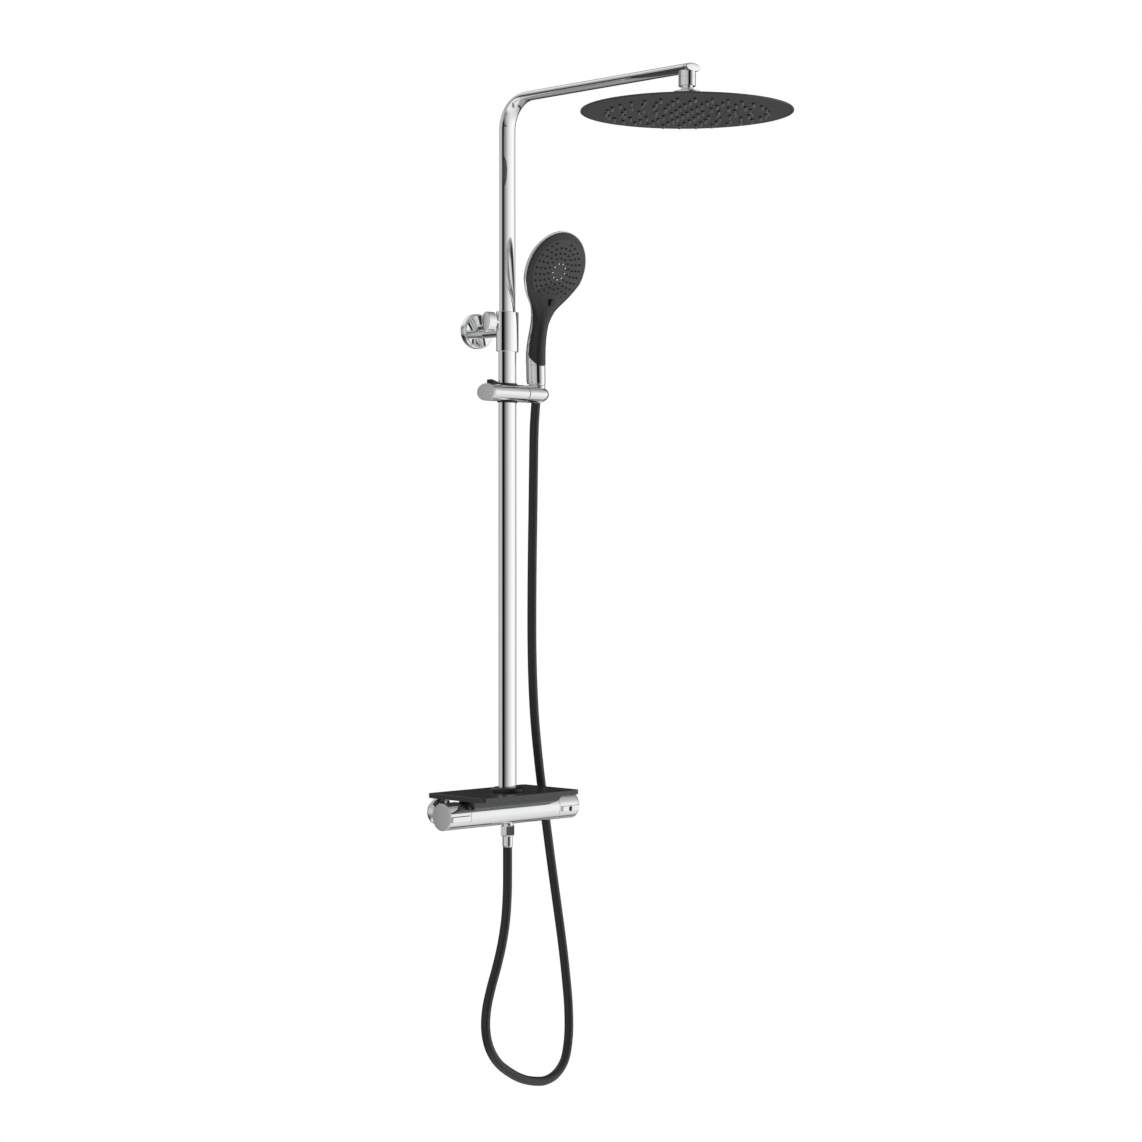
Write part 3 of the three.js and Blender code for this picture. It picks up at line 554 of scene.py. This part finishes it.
def bent_tube():
    """The upper riser tube: a straight rise, a quarter bend and the level arm."""
    bm = bmesh.new()
    foot = bmesh.ops.create_circle(bm, cap_ends=True, segments=ROUND, radius=1)["verts"]
    bmesh.ops.scale(bm, vec=(UPPER_WIDE, UPPER_DEEP, 1), verts=foot)
    bmesh.ops.translate(bm, vec=(0, 0, UPPER_FOOT), verts=foot)
    grown = bmesh.ops.extrude_edge_only(bm, edges=list(bm.edges))["geom"]
    rise = ARM_Z - BEND_RADIUS - UPPER_FOOT
    bmesh.ops.translate(bm, vec=(0, 0, rise), verts=[g for g in grown if is_vert(g)])
    ring = [g for g in grown if is_vert(g) or (is_edge(g) and g.is_boundary)]
    centre = (0, -BEND_RADIUS, ARM_Z - BEND_RADIUS)
    bent = bmesh.ops.spin(
        bm, geom=ring, cent=centre, axis=(1, 0, 0), angle=math.pi / 2, steps=28,
    )["geom_last"]
    bend_end = [g for g in bent if is_edge(g)]
    grown = bmesh.ops.extrude_edge_only(bm, edges=bend_end)["geom"]
    reach = (0, ARM_END + BEND_RADIUS, 0)
    bmesh.ops.translate(bm, vec=reach, verts=[g for g in grown if is_vert(g)])
    bmesh.ops.holes_fill(bm, edges=[e for e in bm.edges if e.is_boundary], sides=0)
    return bm


keep(bent_tube(), "upper_riser_and_arm", "riser_upper_tube", place=COLUMN)
arm_tip = bar(UPPER_WIDE, UPPER_DEEP, 0.3, 6.3, 2.2)
arm_tip_place = COLUMN @ shift(0, ARM_END, ARM_Z) @ turn(90, "X")
keep(arm_tip, "arm_tip", "arm_end_cap", place=arm_tip_place)
keep(bar(LOWER_WIDE, LOWER_DEEP, -700, 26), "lower_riser", "riser_lower_tube", place=COLUMN)
keep(bar(21, 10.5, -30, 30, 0.9), "sleeve", "telescope_sleeve", place=COLUMN)

# %% [markdown]
# A short rod carries the sleeve off the wall, and a flange hides its plate and screws. The flange
# is an open cup, slightly oval, and sits a little above and beside the rod. The clamp is a grip
# the size of a fingertip on a screw that goes into the sleeve's side.

# %% Wall bracket and clamp
flange = turned([
    (25, 0, 0.4), (25, 8.2, 1.0), (23.4, 10.6, 0.8), (9.6, 11, 0.3), (9.2, 11.6, 0.3), (7.2, 11.6),
    (7.2, 8.5), (22.5, 8.5), (22.5, 0),
], tube=True)
FLANGE_WIDER, FLANGE_TALLER = 1.2, 1.05
FLANGE_ASIDE, FLANGE_RAISED = 3, 4.5
bmesh.ops.scale(flange, vec=(FLANGE_WIDER, FLANGE_TALLER, 1), verts=flange.verts)
flange_place = BRACKET @ shift(FLANGE_ASIDE, FLANGE_RAISED, 0)
keep(flange, "wall_flange", "bracket_flange", place=flange_place)
keep(bar(7, 7, 5.3, 66), "wall_rod", "bracket_rod", place=BRACKET)
CLAMP = COLUMN @ shift(0, 0, 14) @ ALONG_X
clamp_grip = bar(14, 8, -45, -28, 1.2)
clamp_stem = bar(4, 4, -28.5, -19)
keep(merged(clamp_grip, clamp_stem), "clamp_grip", "clamp_knob", place=CLAMP)

# %% [markdown]
# The overhead spray hangs from the arm on a ball: a boss on the arm, a union nut that holds the
# ball, and a stem that flares out onto the spray's back.

# %% Swivel
keep(bar(12.25, 12.25, 335.9, 346), "arm_boss", "arm_outlet_boss", place=HEAD)
nut = turned([(0, 323.3), (12.25, 323.3, 0.8), (12.25, 335.8, 0.12), (0, 335.8)])
keep(nut, "swivel_nut_body", "swivel_nut", place=HEAD)
stem = turned([
    (0, 313.8), (19.4, 313.8, 0.4), (19.4, 316.4, 0.9), (9.4, 317.9, 1.2), (8.4, 321, 0.8),
    (8.4, 327), (0, 327),
])
keep(stem, "ball_and_stem", "ball_stem", place=HEAD)

# %% [markdown]
# The overhead spray is a broad, thin dish. Its back rises gently to the stem and its underside
# is a flat plate with soft nozzles in rings of six, twelve and so on, so that every nozzle keeps
# about the same distance from the next. Each nozzle is a short cone.

# %% Overhead spray
FACE_Z = 287.6
dish = turned([
    (0, 313.5), (24, 313.5, 2.5), (60, 306.2, 14), (110, 297, 16), (140, 292.4, 6),
    (149.4, 290.4, 0.5), (150, 289.2, 0.3), (150, FACE_Z + 0.2, 0.4), (146.6, FACE_Z, 0.2),
    (146.6, FACE_Z + 1.2), (0, FACE_Z + 1.2),
], 144)
# The dish and plate take the lighter copy of face grey, which is painted light.
keep(dish, "spray_dish", "head_shell", place=HEAD, look=face_grey_painted_light, sharp=24)
plate = turned([(0, FACE_Z + 2), (146.2, FACE_Z + 2), (146.2, FACE_Z, 0.4), (0, FACE_Z)], 144)
keep(plate, "spray_plate", "head_face_plate", "head_seal_ring", place=HEAD, look=face_grey_painted_light)


def ring_places(ring_count, outer_radius, first=0):
    """Centres on rings that hold six more places than the ring inside them."""
    places = [(0.0, 0.0)] if first == 0 else []
    for ring in range(max(first, 1), ring_count + 1):
        for step in range(6 * ring):
            angle = 2 * math.pi * step / (6 * ring)
            radius = outer_radius * ring / ring_count
            places.append((radius * math.cos(angle), radius * math.sin(angle)))
    return places


def nozzles(places, foot_radius, tip_radius, foot, tip, segments=12):
    """Short cones, wider at the foot, all in one mesh."""
    bm = bmesh.new()
    for x, y in places:
        middle = shift(x, y, (foot + tip) / 2)
        bmesh.ops.create_cone(
            bm, cap_ends=True, segments=segments, radius1=tip_radius, radius2=foot_radius,
            depth=foot - tip, matrix=middle,
        )
    return bm


rain_places = ring_places(5, 113.5)
cones = nozzles(rain_places, 2.3, 1.8, FACE_Z + 0.5, FACE_Z - 6.0)
keep(cones, "spray_nozzles", "head_nozzle_mat", place=HEAD, look=nozzle_grey)
print("overhead nozzles:", len(rain_places))

# %% [markdown]
# The holder is a lying oval bar that grips the riser. A push button on top, left of the riser,
# lets it slide. Its end block, which carries the hand shower, tilts about the bar's axis. A dark
# washer shows as the seam between the two.

# %% Holder
BAR_HALF_HIGH, BAR_HALF_DEEP = 13, 19
CRADLE_START = 31.1
CRADLE_DOME = 18.8
holder_bar = bar(BAR_HALF_HIGH, BAR_HALF_DEEP, -42, 30, 0.5)
keep(holder_bar, "holder_bar", "slider_body", place=SLIDER @ ALONG_X)
holder_cap = bar(BAR_HALF_HIGH, BAR_HALF_DEEP, -45, -42.3, 0.4)
keep(holder_cap, "holder_cap", "slider_end_cap", place=SLIDER @ ALONG_X)
brake = bar(19, 9.75, -14.6, 14.6, 0.7)
seam_washer = moved(bar(12.7, 18.7, 29.6, 31), ALONG_X)
keep(merged(brake, seam_washer), "holder_brake", "slider_brake", place=SLIDER)

BUTTON_SIZE = (14, 12, 20.5)
BUTTON_MIDDLE = (-26.5, 4, 9.45)
BUTTON_SLOPE = 4
button = bmesh.new()
bmesh.ops.create_cube(button, size=1)
bmesh.ops.scale(button, vec=BUTTON_SIZE, verts=button.verts)
bmesh.ops.translate(button, vec=BUTTON_MIDDLE, verts=button.verts)
right_top = [v for v in button.verts if v.co.z > BUTTON_MIDDLE[2] and v.co.x > BUTTON_MIDDLE[0]]
bmesh.ops.translate(button, vec=(0, 0, -BUTTON_SLOPE), verts=right_top)
soften(button, list(button.edges), 1.0)
keep(button, "holder_button", "release_button", place=SLIDER)


def cradle_block():
    """The holder's end block: the bar's oval drawn out and closed with a dome."""
    bm = bmesh.new()
    root = bmesh.ops.create_circle(bm, cap_ends=True, segments=ROUND, radius=1)["verts"]
    bmesh.ops.scale(bm, vec=(BAR_HALF_HIGH, BAR_HALF_DEEP, 1), verts=root)
    bmesh.ops.translate(bm, vec=(0, 0, CRADLE_START), verts=root)
    edges = list(bm.edges)
    steps = 14
    reach, size = CRADLE_START, 1.0
    for step in range(steps + 1):
        angle = math.pi / 2 * step / (steps + 0.4)
        next_reach = CRADLE_X + CRADLE_DOME * math.sin(angle)
        next_size = math.cos(angle)
        grown = bmesh.ops.extrude_edge_only(bm, edges=edges)["geom"]
        verts = [g for g in grown if is_vert(g)]
        bmesh.ops.translate(bm, vec=(0, 0, next_reach - reach), verts=verts)
        ratio = next_size / size
        bmesh.ops.scale(bm, vec=(ratio, ratio, 1), verts=verts)
        edges = [g for g in grown if is_edge(g) and g.is_boundary]
        reach, size = next_reach, next_size
    bmesh.ops.holes_fill(bm, edges=edges, sides=0)
    soften(bm, ring_edges(bm, 1, CRADLE_START, (BAR_HALF_HIGH, BAR_HALF_DEEP)), 0.5)
    return moved(bm, ALONG_X)


bore_place = shift(CRADLE_X, 0, 0) @ turn(HANDLE_LEAN, "X")
bore = moved(turned([(0, -22), (10.6, -22), (14.2, 22), (0, 22)]), bore_place)
keep(carved(cradle_block(), bore), "holder_cradle", "cradle", place=SLIDER)

# %% [markdown]
# The hand shower is two shells: a chrome back and a dark front that meet along its sides. Its
# outline flows from a round handle into a flat round head. Rings of one circle, each given its
# own width, front depth and back depth and bridged to the next, follow that flow.

# %% Hand shower shells
HEAD_RADIUS = 61
handle_rings = [
    # middle y, height, tilt, half width, front depth, back depth
    (6.4, 44.6, 0, 14.9, 14.9, 14.9), (8.0, 60, 0, 15.0, 15.0, 15.0),
    (8.4, 72, 0, 14.7, 14.7, 14.8), (7.7, 85, 1, 14.1, 14.1, 14.2),
    (6.1, 98, 4, 13.7, 13.6, 13.6), (4.6, 109, 8, 14.2, 13.8, 13.3),
    (2.8, 119, 12, 16.8, 14.6, 13.4),
]
flow_rings = [
    # distance from the head's middle, half width, front depth, back depth
    (-64, 21.1, 9.6, 13.9), (-57.5, 27.2, 9.0, 14.5), (-51.5, 33.6, 8.2, 15.2),
    (-45, 40.2, 7.2, 16.2), (-37.5, 46.6, 6.3, 17.6), (-29, 52.2, 5.8, 19.0),
]
# The neck is this far from the head's middle, and the outline flows into the round over this reach.
NECK_REACH = 64
FLOW_REACH = 35
# Towards the handle the seam between the shells falls back, by this much at the neck.
SEAM_FALL = 7.0
FRONT_SWELL = 6.0
BACK_SWELL = 21.0


def shower_rings(rim):
    """Each ring's place, half width, front depth and back depth, inside a rim on the head."""
    rings = []
    for y, z, tilt, wide, front, back in handle_rings:
        rings.append((shift(0, y, z) @ turn(tilt, "X"), wide, front, back))
    head_rings = []
    for along_head, wide, front, back in flow_rings:
        inset = rim * (NECK_REACH + along_head) / FLOW_REACH
        head_rings.append((along_head, wide - inset, front, back))
    for degrees in (-18, -8, 2, 12, 22, 32, 42, 51, 60, 68, 75, 81, 86, 89.4):
        angle = math.radians(degrees)
        part = math.cos(angle)
        along_head = (HEAD_RADIUS - rim) * math.sin(angle)
        wide = (HEAD_RADIUS - rim) * part
        head_rings.append((along_head, wide, FRONT_SWELL * part, BACK_SWELL * part))
    tilt = turn(HEAD_TILT, "X")
    for along_head, wide, front, back in head_rings:
        fall = SEAM_FALL * (max(-along_head, 0) / NECK_REACH) ** 2
        place = shift(0, HEAD_MIDDLE_Y, HEAD_MIDDLE_Z) @ tilt @ shift(0, fall, along_head)
        rings.append((place, wide, front + fall, back))
    return rings


# A side with no share of the depth keeps a sliver. Whole rings stand a hair behind the front.
SLIVER = 0.3
BEHIND_FRONT = 0.975
# The front shell's lower edge is level over this share of its width, then curves up.
LEVEL_SHARE = 0.25


def shell(front_share, back_share, lift=0.0, grow=0.0, full_rings=0, rim=0.0):
    """A skin over the rings; a share of 0 leaves that side nearly flat."""
    bm = bmesh.new()
    loops = []
    for place, wide, front, back in shower_rings(rim):
        verts = bmesh.ops.create_circle(bm, segments=64, radius=1)["verts"]
        whole = len(loops) < full_rings
        front_deep = front * BEHIND_FRONT if whole else max(front * front_share, SLIVER) + grow
        back_deep = max(back * back_share, SLIVER) + grow
        facing = [v for v in verts if v.co.y <= 0]
        behind = [v for v in verts if v.co.y > 0]
        bmesh.ops.scale(bm, vec=(wide + grow, front_deep, 1), verts=facing)
        bmesh.ops.scale(bm, vec=(wide + grow, back_deep, 1), verts=behind)
        if not loops and lift:
            for vert in verts:
                share = max(abs(vert.co.x) / wide - LEVEL_SHARE, 0) / (1 - LEVEL_SHARE)
                vert.co.z += lift * (1 - math.sqrt(max(1 - share ** 2, 0)))
        bmesh.ops.transform(bm, matrix=place, verts=verts)
        loops.append([e for e in bm.edges if e.verts[0] in verts and e.verts[1] in verts])
    for lower, upper in zip(loops, loops[1:]):
        bmesh.ops.bridge_loops(bm, edges=lower + upper)
    bmesh.ops.holes_fill(bm, edges=[e for e in bm.edges if e.is_boundary], sides=0)
    return bm


back = shell(0.5, 1, full_rings=2)
keep(back, "handset_back", "handset_back_shell", place=HOLDER, sharp=50)
front = shell(1, 0, lift=11.6, grow=0.12, rim=1.1)
keep(front, "handset_front", "handset_front_shell", place=HOLDER, look=shell_grey, sharp=50)
collar = turned([(0, 14.5), (13.6, 14.5, 0.5), (14.7, 19, 1.5), (14.7, 44.4, 0.3), (0, 44.4)])
LEAN_BACK = 0.13
collar_place = HOLDER @ shift(0, 0.6, 0) @ Matrix.Shear("XY", 4, (0, LEAN_BACK))
keep(collar, "handset_collar_ring", "handset_collar", place=collar_place)

# %% [markdown]
# The hand shower's face is a shallow disc with four rings of fine nozzles round a brighter
# inner ring. The outer ring has a gap at the top. A small lever at the foot of the face changes
# the spray.

# %% Hand shower face
FACE_PLATE_RADIUS = 49.5


def face_height(reach, proud=0.0):
    """How far the swelling face stands out at a distance from its middle."""
    return FRONT_SWELL * math.sqrt(1 - (reach / HEAD_RADIUS) ** 2) + proud


reaches = (FACE_PLATE_RADIUS, 46, 42, 37, 31, 24, 16, 8, 0)
face_profile = [(reach, face_height(reach, 0.2)) for reach in reaches]
face_disc = turned([(0, 1), (FACE_PLATE_RADIUS, 1), *face_profile])
keep(face_disc, "handset_disc", "handset_face", place=HANDSET_HEAD, look=face_grey, sharp=50)
# Radius and number of nozzles on each ring, and where the outer ring is left open.
FINE_RINGS = ((20, 14), (28, 19), (36, 23), (44, 27))
GAP_REACH, GAP_HALF = 39, 10
FINE_HEIGHT = 2.0


def even_ring(radius, count):
    angles = [2 * math.pi * step / count for step in range(count)]
    return [(radius * math.sin(angle), radius * math.cos(angle)) for angle in angles]


def fine_nozzles(radius, count, foot_radius, tip_radius):
    """One ring of fine nozzles that stand on the swelling face."""
    foot = face_height(radius)
    evenly = even_ring(radius, count)
    places = [(x, y) for x, y in evenly if y > -GAP_REACH or abs(x) > GAP_HALF]
    ring = nozzles(places, foot_radius, tip_radius, -foot, -foot - FINE_HEIGHT, 10)
    return moved(ring, turn(180, "X"))


fine_cones = merged(*[fine_nozzles(radius, count, 1.5, 1.05) for radius, count in FINE_RINGS])
keep(fine_cones, "handset_nozzles", "handset_nozzle_mat", place=HANDSET_HEAD)
inner_cones = fine_nozzles(12.5, 9, 1.35, 1.0)
keep(inner_cones, "handset_inner_nozzles", "handset_nozzle_mat", place=HANDSET_HEAD, look=cap_grey)
lever = block(-3.8, 3.8, -54, -43, 2, 11.4, 1.8, 0.7)
keep(lever, "spray_lever", "spray_selector", place=HANDSET_HEAD)

# %% [markdown]
# The hose ends in a cone nut that seats in the cradle, with a ferrule below it.

# %% Hose's upper end
cone_nut = turned([(0, -11), (10.4, -11, 0.6), (12.8, 14.2, 0.4), (0, 14.2)])
cone_nut_piece = keep(cone_nut, "cone_nut", "hose_cone_nut", place=HOLDER)
top_ferrule = keep(bar(7.9, 7.9, -12.5, -3, 0.4), "top_ferrule", "hose_top_ferrule", place=HOLDER)

# %% [markdown]
# The mixer is a bar with a knob at each end. Each knob is a sleeve of the bar's own diameter, so
# that only a fine seam shows, with a grip rib on the front and a flat cap.

# %% Mixer
MIXER_RADIUS = 20
mixer_bar = bar(MIXER_RADIUS, MIXER_RADIUS, -92, 92, 0.35, 96)
outlet = moved(bar(8.4, 8.4, 18, 22.6, 0.5), ALONG_X)
INLET_SIDE = 75
inlet_stubs = [
    moved(bar(12.8, 12.8, 5, 31), shift(0, 0, side) @ turn(-90, "X"))
    for side in (-INLET_SIDE, INLET_SIDE)
]
keep(merged(mixer_bar, outlet, *inlet_stubs), "mixer_bar", "mixer_body", place=MIXER)
RIB_LEAN = 8
for side, word in ((1, "temperature"), (-1, "flow")):
    mirror = Matrix.Diagonal((1, 1, side, 1))
    sleeve = bar(MIXER_RADIUS, MIXER_RADIUS, 92.3, 131.8, 0.35, 96)
    rib = block(-4.5, 4.5, -22.6, -17, 96, 131.6, 0, 0.9)
    knob = merged(sleeve, moved(rib, turn(RIB_LEAN, "Z")))
    keep(knob, f"{word}_grip", f"{word}_knob", place=MIXER @ mirror)
    end_cap = turned([(0, 132.1), (20.2, 132.1, 0.2), (20.2, 134, 0.7), (0, 134)], 96)
    keep(end_cap, f"{word}_end", f"{word}_knob_cap", place=MIXER @ mirror)
stop = moved(block(-3.5, 3.5, -24.2, -15, 110.5, 114.2, 0, 0.5), turn(RIB_LEAN, "Z"))
keep(stop, "temperature_stop", "stop_button", place=MIXER)

# %% [markdown]
# Behind the mixer two union nuts hold the eccentric unions, which run into the wall under a
# domed rosette each. A screw on top of each union shuts its water off.

# %% Inlets
HALF_FLAT = turn(30, "Z")
UNION_NUT_FLATS = 30
WALL_REACH = 75
SCREW_REACH = 53
nut_corner = UNION_NUT_FLATS / math.sqrt(3)
for side, word in ((-INLET_SIDE, "left"), (INLET_SIDE, "right")):
    inlet = MIXER @ shift(0, 0, side) @ turn(-90, "X")
    union_nut = turned([
        (0, 24), (15.6, 24), (nut_corner, 25.4), (nut_corner, 44.6), (15.6, 46), (0, 46),
    ], 6)
    keep(union_nut, f"union_nut_{word}", f"inlet_nut_{word}", place=inlet @ HALF_FLAT)
    union = turned([
        (0, 34), (10.5, 34), (10.5, 46.5), (12, 47, 0.4), (12, 59, 0.4), (10.5, 59.5), (10.5, 84),
        (0, 84),
    ])
    keep(union, f"union_{word}", f"inlet_union_{word}", place=inlet)
    rosette = turned([(0, 0), (20.5, 0, 0.3), (20.5, 3, 1.0), (19, 9, 2.5), (15, 12, 0.8), (0, 12)])
    at_wall = MIXER @ shift(0, WALL_REACH, side) @ turn(90, "X")
    keep(rosette, f"rosette_{word}", f"wall_rosette_{word}", place=at_wall)
    screw = turned([(0, 10.8), (4, 10.8), (4, 17.4, 0.5), (1.6, 17.4), (1.6, 16.4), (0, 16.4)], 32)
    on_union = MIXER @ shift(0, SCREW_REACH, side) @ turn(-90, "Y")
    keep(screw, f"shutoff_{word}", f"shutoff_screw_{word}", place=on_union)

# %% [markdown]
# Below the mixer a hexagon nut and a ferrule start the hose.

# %% Hose's lower end
DOWN = MIXER @ turn(90, "Y")
OUTLET_NUT_FLATS = 19
OUTLET_NUT_TURN = 22.5
corner_radius = OUTLET_NUT_FLATS / math.sqrt(3)
outlet_nut = turned([
    (0, 21.8), (9.8, 21.8), (corner_radius, 22.9), (corner_radius, 36.4), (9.8, 37.8), (0, 37.8),
], 6)
nut_place = DOWN @ turn(OUTLET_NUT_TURN, "Z")
bottom_nut = keep(outlet_nut, "outlet_nut", "hose_bottom_nut", place=nut_place)
ferrule = turned([(0, 38.1), (7.8, 38.1, 0.3), (7.8, 52.6, 0.6), (7.2, 54.7, 0.3), (0, 54.7)])
bottom_ferrule = keep(ferrule, "outlet_ferrule", "hose_bottom_ferrule", place=DOWN)

# %% [markdown]
# The shelf is a plate of semi-gloss plastic with rounded corners. A grey saddle under it is cut
# to sit on the mixer, and a low collar closes the hole where the riser passes through.

# %% Shelf
shelf = block(-101, 101, -54, 69, -700.2, -693, 7, 0.8)
keep(shelf, "shelf", "shelf_plate", place=COLUMN)
MIXER_ROOM = 20.3
mixer_room = moved(bar(MIXER_ROOM, MIXER_ROOM, -200, 200), shift(0, 0, MIXER_Z) @ ALONG_X)
saddle_block = block(-90, 90, -24, 52, -714.5, -700.5)
low_ends = [
    e for e in saddle_block.edges
    if all(abs(v.co.x) > 89 and v.co.z < -714 for v in e.verts)
]
soften(saddle_block, low_ends, 11, 8)
saddle = carved(
    saddle_block,
    mixer_room,
    block(-94, -56, 10, 80, -760, -690),
    block(56, 94, 10, 80, -760, -690),
    block(-95, 95, 21, 60, -730, -706),
)
keep(saddle, "saddle", "shelf_saddle", place=COLUMN, look=shelf_grey)
base = turned([(0, -692.7), (24.5, -692.7, 0.2), (24.5, -688, 1.6), (21, -686, 0.6), (0, -686)])
keep(base, "riser_collar", "riser_base_collar", place=COLUMN)

# %% [markdown]
# Pieces that stay hidden inside keep their CAD shape and only get their material.

# %% Hidden pieces
hidden_count = 0
for name, node in frame["nodes"].items():
    if not node.hide_render:
        node.data.materials.clear()
        node.data.materials.append(looks[slot_of[name]])
        hidden_count += 1
print("pieces that keep their CAD shape:", hidden_count)

# %% [markdown]
# The hose is a fixed length of something flexible. Its thickness and route are given where it is
# laid, and its length is printed there.

# %% [markdown]
# Chrome shows nothing but its surroundings, so the studio is part of the finish. The room is
# white to the camera. Its brightness as reflections see it changes with direction, and so draws
# the light and dark lines along the tubes. Three rings of brightness, for level, upward and
# downward looks, fade into one another. A little more light falls on the right-hand sides.

# %% Studio
scene = bpy.context.scene
scene.view_settings.view_transform = "Standard"


def ramp(look, value, stops):
    """A colour ramp of greys from pairs of place and brightness."""
    made = look.node("ShaderNodeValToRGB", None, {"Fac": value})
    colours = made.socket.node.color_ramp.elements
    colours[0].position, colours[-1].position = stops[0][0], stops[-1][0]
    for place, _ in stops[1:-1]:
        colours.new(place)
    for stop, (_, bright) in zip(sorted(colours, key=lambda e: e.position), stops):
        stop.color = (bright, bright, bright, 1)
    return made


# Pairs of a compass direction in degrees and the brightness seen that way.
LEVEL_RING = [
    (0, 0.42), (6, 0.1), (12, 0.03), (48, 0.03), (62, 0.5), (80, 0.35), (86, 0.03), (103, 0.03),
    (110, 0.36), (119, 0.4), (123, 0.04), (128, 0.04), (132, 0.36), (138, 0.5), (173, 0.62),
    (218, 0.5), (232, 0.44), (237, 0.36), (243, 0.0), (261, 0.0), (266, 0.05), (270, 0.1),
    (277, 0.22), (291, 0.48), (297, 0.6), (303, 0.74), (310, 0.87), (328, 1.05), (337, 1.0),
    (346, 0.9), (355, 0.75),
]
UPPER_RING = [
    (0, 0.2), (8, 0.12), (18, 0.03), (46, 0.04), (56, 0.5), (66, 0.75), (95, 0.85), (118, 0.8),
    (132, 0.3), (150, 0.4), (226, 0.45), (250, 0.12), (275, 0.22), (305, 0.42), (325, 0.5),
    (340, 0.42), (352, 0.3), (360, 0.2),
]
LOWER_RING = [
    (0, 0.55), (8, 0.5), (10, 0.03), (15, 0.0), (18, 0.34), (46, 0.4), (60, 0.28), (80, 0.2),
    (100, 0.12), (118, 0.03), (136, 0.02), (150, 0.2), (226, 0.4), (252, 0.15), (280, 0.5),
    (312, 0.8), (340, 0.74), (360, 0.55),
]
world = bpy.data.worlds.new("studio")
scene.world = world
world.use_nodes = True


class Surroundings(Look):
    """The same node writer, for the world."""

    def __init__(self, made_world):
        self.tree = made_world.node_tree
        self.shader = next(n for n in self.tree.nodes if n.type == "BACKGROUND")


room = Surroundings(world)
toward = room.node("ShaderNodeTexCoord", output="Generated")
toward_x = room.node("ShaderNodeSeparateXYZ", None, {"Vector": toward})
toward_y = Wire(room, toward_x.socket.node.outputs["Y"])
toward_z = Wire(room, toward_x.socket.node.outputs["Z"])
part_turn = toward_y.math("ARCTAN2", toward_x) * (0.5 / math.pi)
around = part_turn + 1.0 * part_turn.math("LESS_THAN", 0.0)


def ring(stops):
    """Brightness all round, from pairs of degrees and brightness."""
    return ramp(room, around, [(degrees / 360, bright) for degrees, bright in stops])


def between(value, low, high):
    """0 below low and 1 above high, with soft ends."""
    settings = {"interpolation_type": "SMOOTHSTEP"}
    inputs = {"Value": value, "From Min": low, "From Max": high}
    return room.node("ShaderNodeMapRange", settings, inputs, output="Result")


def cross(factor, first, second):
    """first where the factor is 0, second where it is 1."""
    return first + factor * (second - first)


OVERHEAD, UNDERFOOT = 0.35, 0.85
level = ring(LEVEL_RING)
rising = cross(between(toward_z, 0.10, 0.62), level, ring(UPPER_RING))
falling = cross(between(-1 * toward_z, 0.12, 0.60), rising, ring(LOWER_RING))
ceiling = cross(between(toward_z, 0.75, 0.95), falling, OVERHEAD + 0 * level)
glow = cross(between(-1 * toward_z, 0.7, 0.9), ceiling, UNDERFOOT + 0 * level)
camera_ray = room.node("ShaderNodeLightPath", output="Is Camera Ray")
diffuse_ray = Wire(room, camera_ray.socket.node.outputs["Is Diffuse Ray"])
FILL = 1.25
SIDE_FILL = 0.7
to_the_right = (toward_x - toward_y) * SIDE_FILL
lit = glow * (1.0 + (FILL - 1.0 + to_the_right) * diffuse_ray)
room.join(cross(camera_ray, lit, 1.0 + 0 * level), room.shader.inputs["Color"])
room.shader.inputs["Strength"].default_value = 1.0


def stage_look(name, colour, glow):
    material = bpy.data.materials.new(name)
    material.use_nodes = True
    shader = material.node_tree.nodes["Principled BSDF"]
    shader.inputs["Base Color"].default_value = (*colour, 1)
    shader.inputs["Roughness"].default_value = 0.9
    shader.inputs["Specular IOR Level"].default_value = 0
    shader.inputs["Emission Color"].default_value = (1, 1, 1, 1)
    shader.inputs["Emission Strength"].default_value = glow
    return material


def sweep(width, front, back, top, floor_z, bend):
    """A floor that curves up into a backdrop."""
    bm = bmesh.new()
    edge = [bm.verts.new((x, front, floor_z)) for x in (-width / 2, width / 2)]
    lines = [bm.edges.new(edge)]
    grown = bmesh.ops.extrude_edge_only(bm, edges=lines)["geom"]
    verts = [g for g in grown if is_vert(g)]
    bmesh.ops.translate(bm, vec=(0, back - bend - front, 0), verts=verts)
    line = [g for g in grown if is_edge(g) and all(v in verts for v in g.verts)]
    bent = bmesh.ops.spin(
        bm, geom=verts + line, cent=(0, back - bend, floor_z + bend), axis=(1, 0, 0),
        angle=math.pi / 2, steps=16,
    )["geom_last"]
    line = [g for g in bent if is_edge(g)]
    grown = bmesh.ops.extrude_edge_only(bm, edges=line)["geom"]
    verts = [g for g in grown if is_vert(g)]
    bmesh.ops.translate(bm, vec=(0, 0, top - floor_z - bend), verts=verts)
    return bm


def stage_piece(name, bm, material, turned_to):
    """A piece of the set, which is no part of the object."""
    bmesh.ops.transform(bm, matrix=turned_to, verts=bm.verts)
    mesh = bpy.data.meshes.new(name)
    bm.to_mesh(mesh)
    bm.free()
    mesh.shade_smooth()
    mesh.materials.append(material)
    piece = bpy.data.objects.new(name, mesh)
    bpy.context.scene.collection.objects.link(piece)
    return piece


FLOOR_Z = -1.7
floor_look = stage_look("pale floor", (0.0, 0.0, 0.0), 1.0)
backdrop = sweep(16, -7, 3.2, 5, FLOOR_Z, 1.6)
floor = stage_piece("floor", backdrop, floor_look, turn(-45, "Z"))
floor.visible_diffuse = False
floor.visible_glossy = False
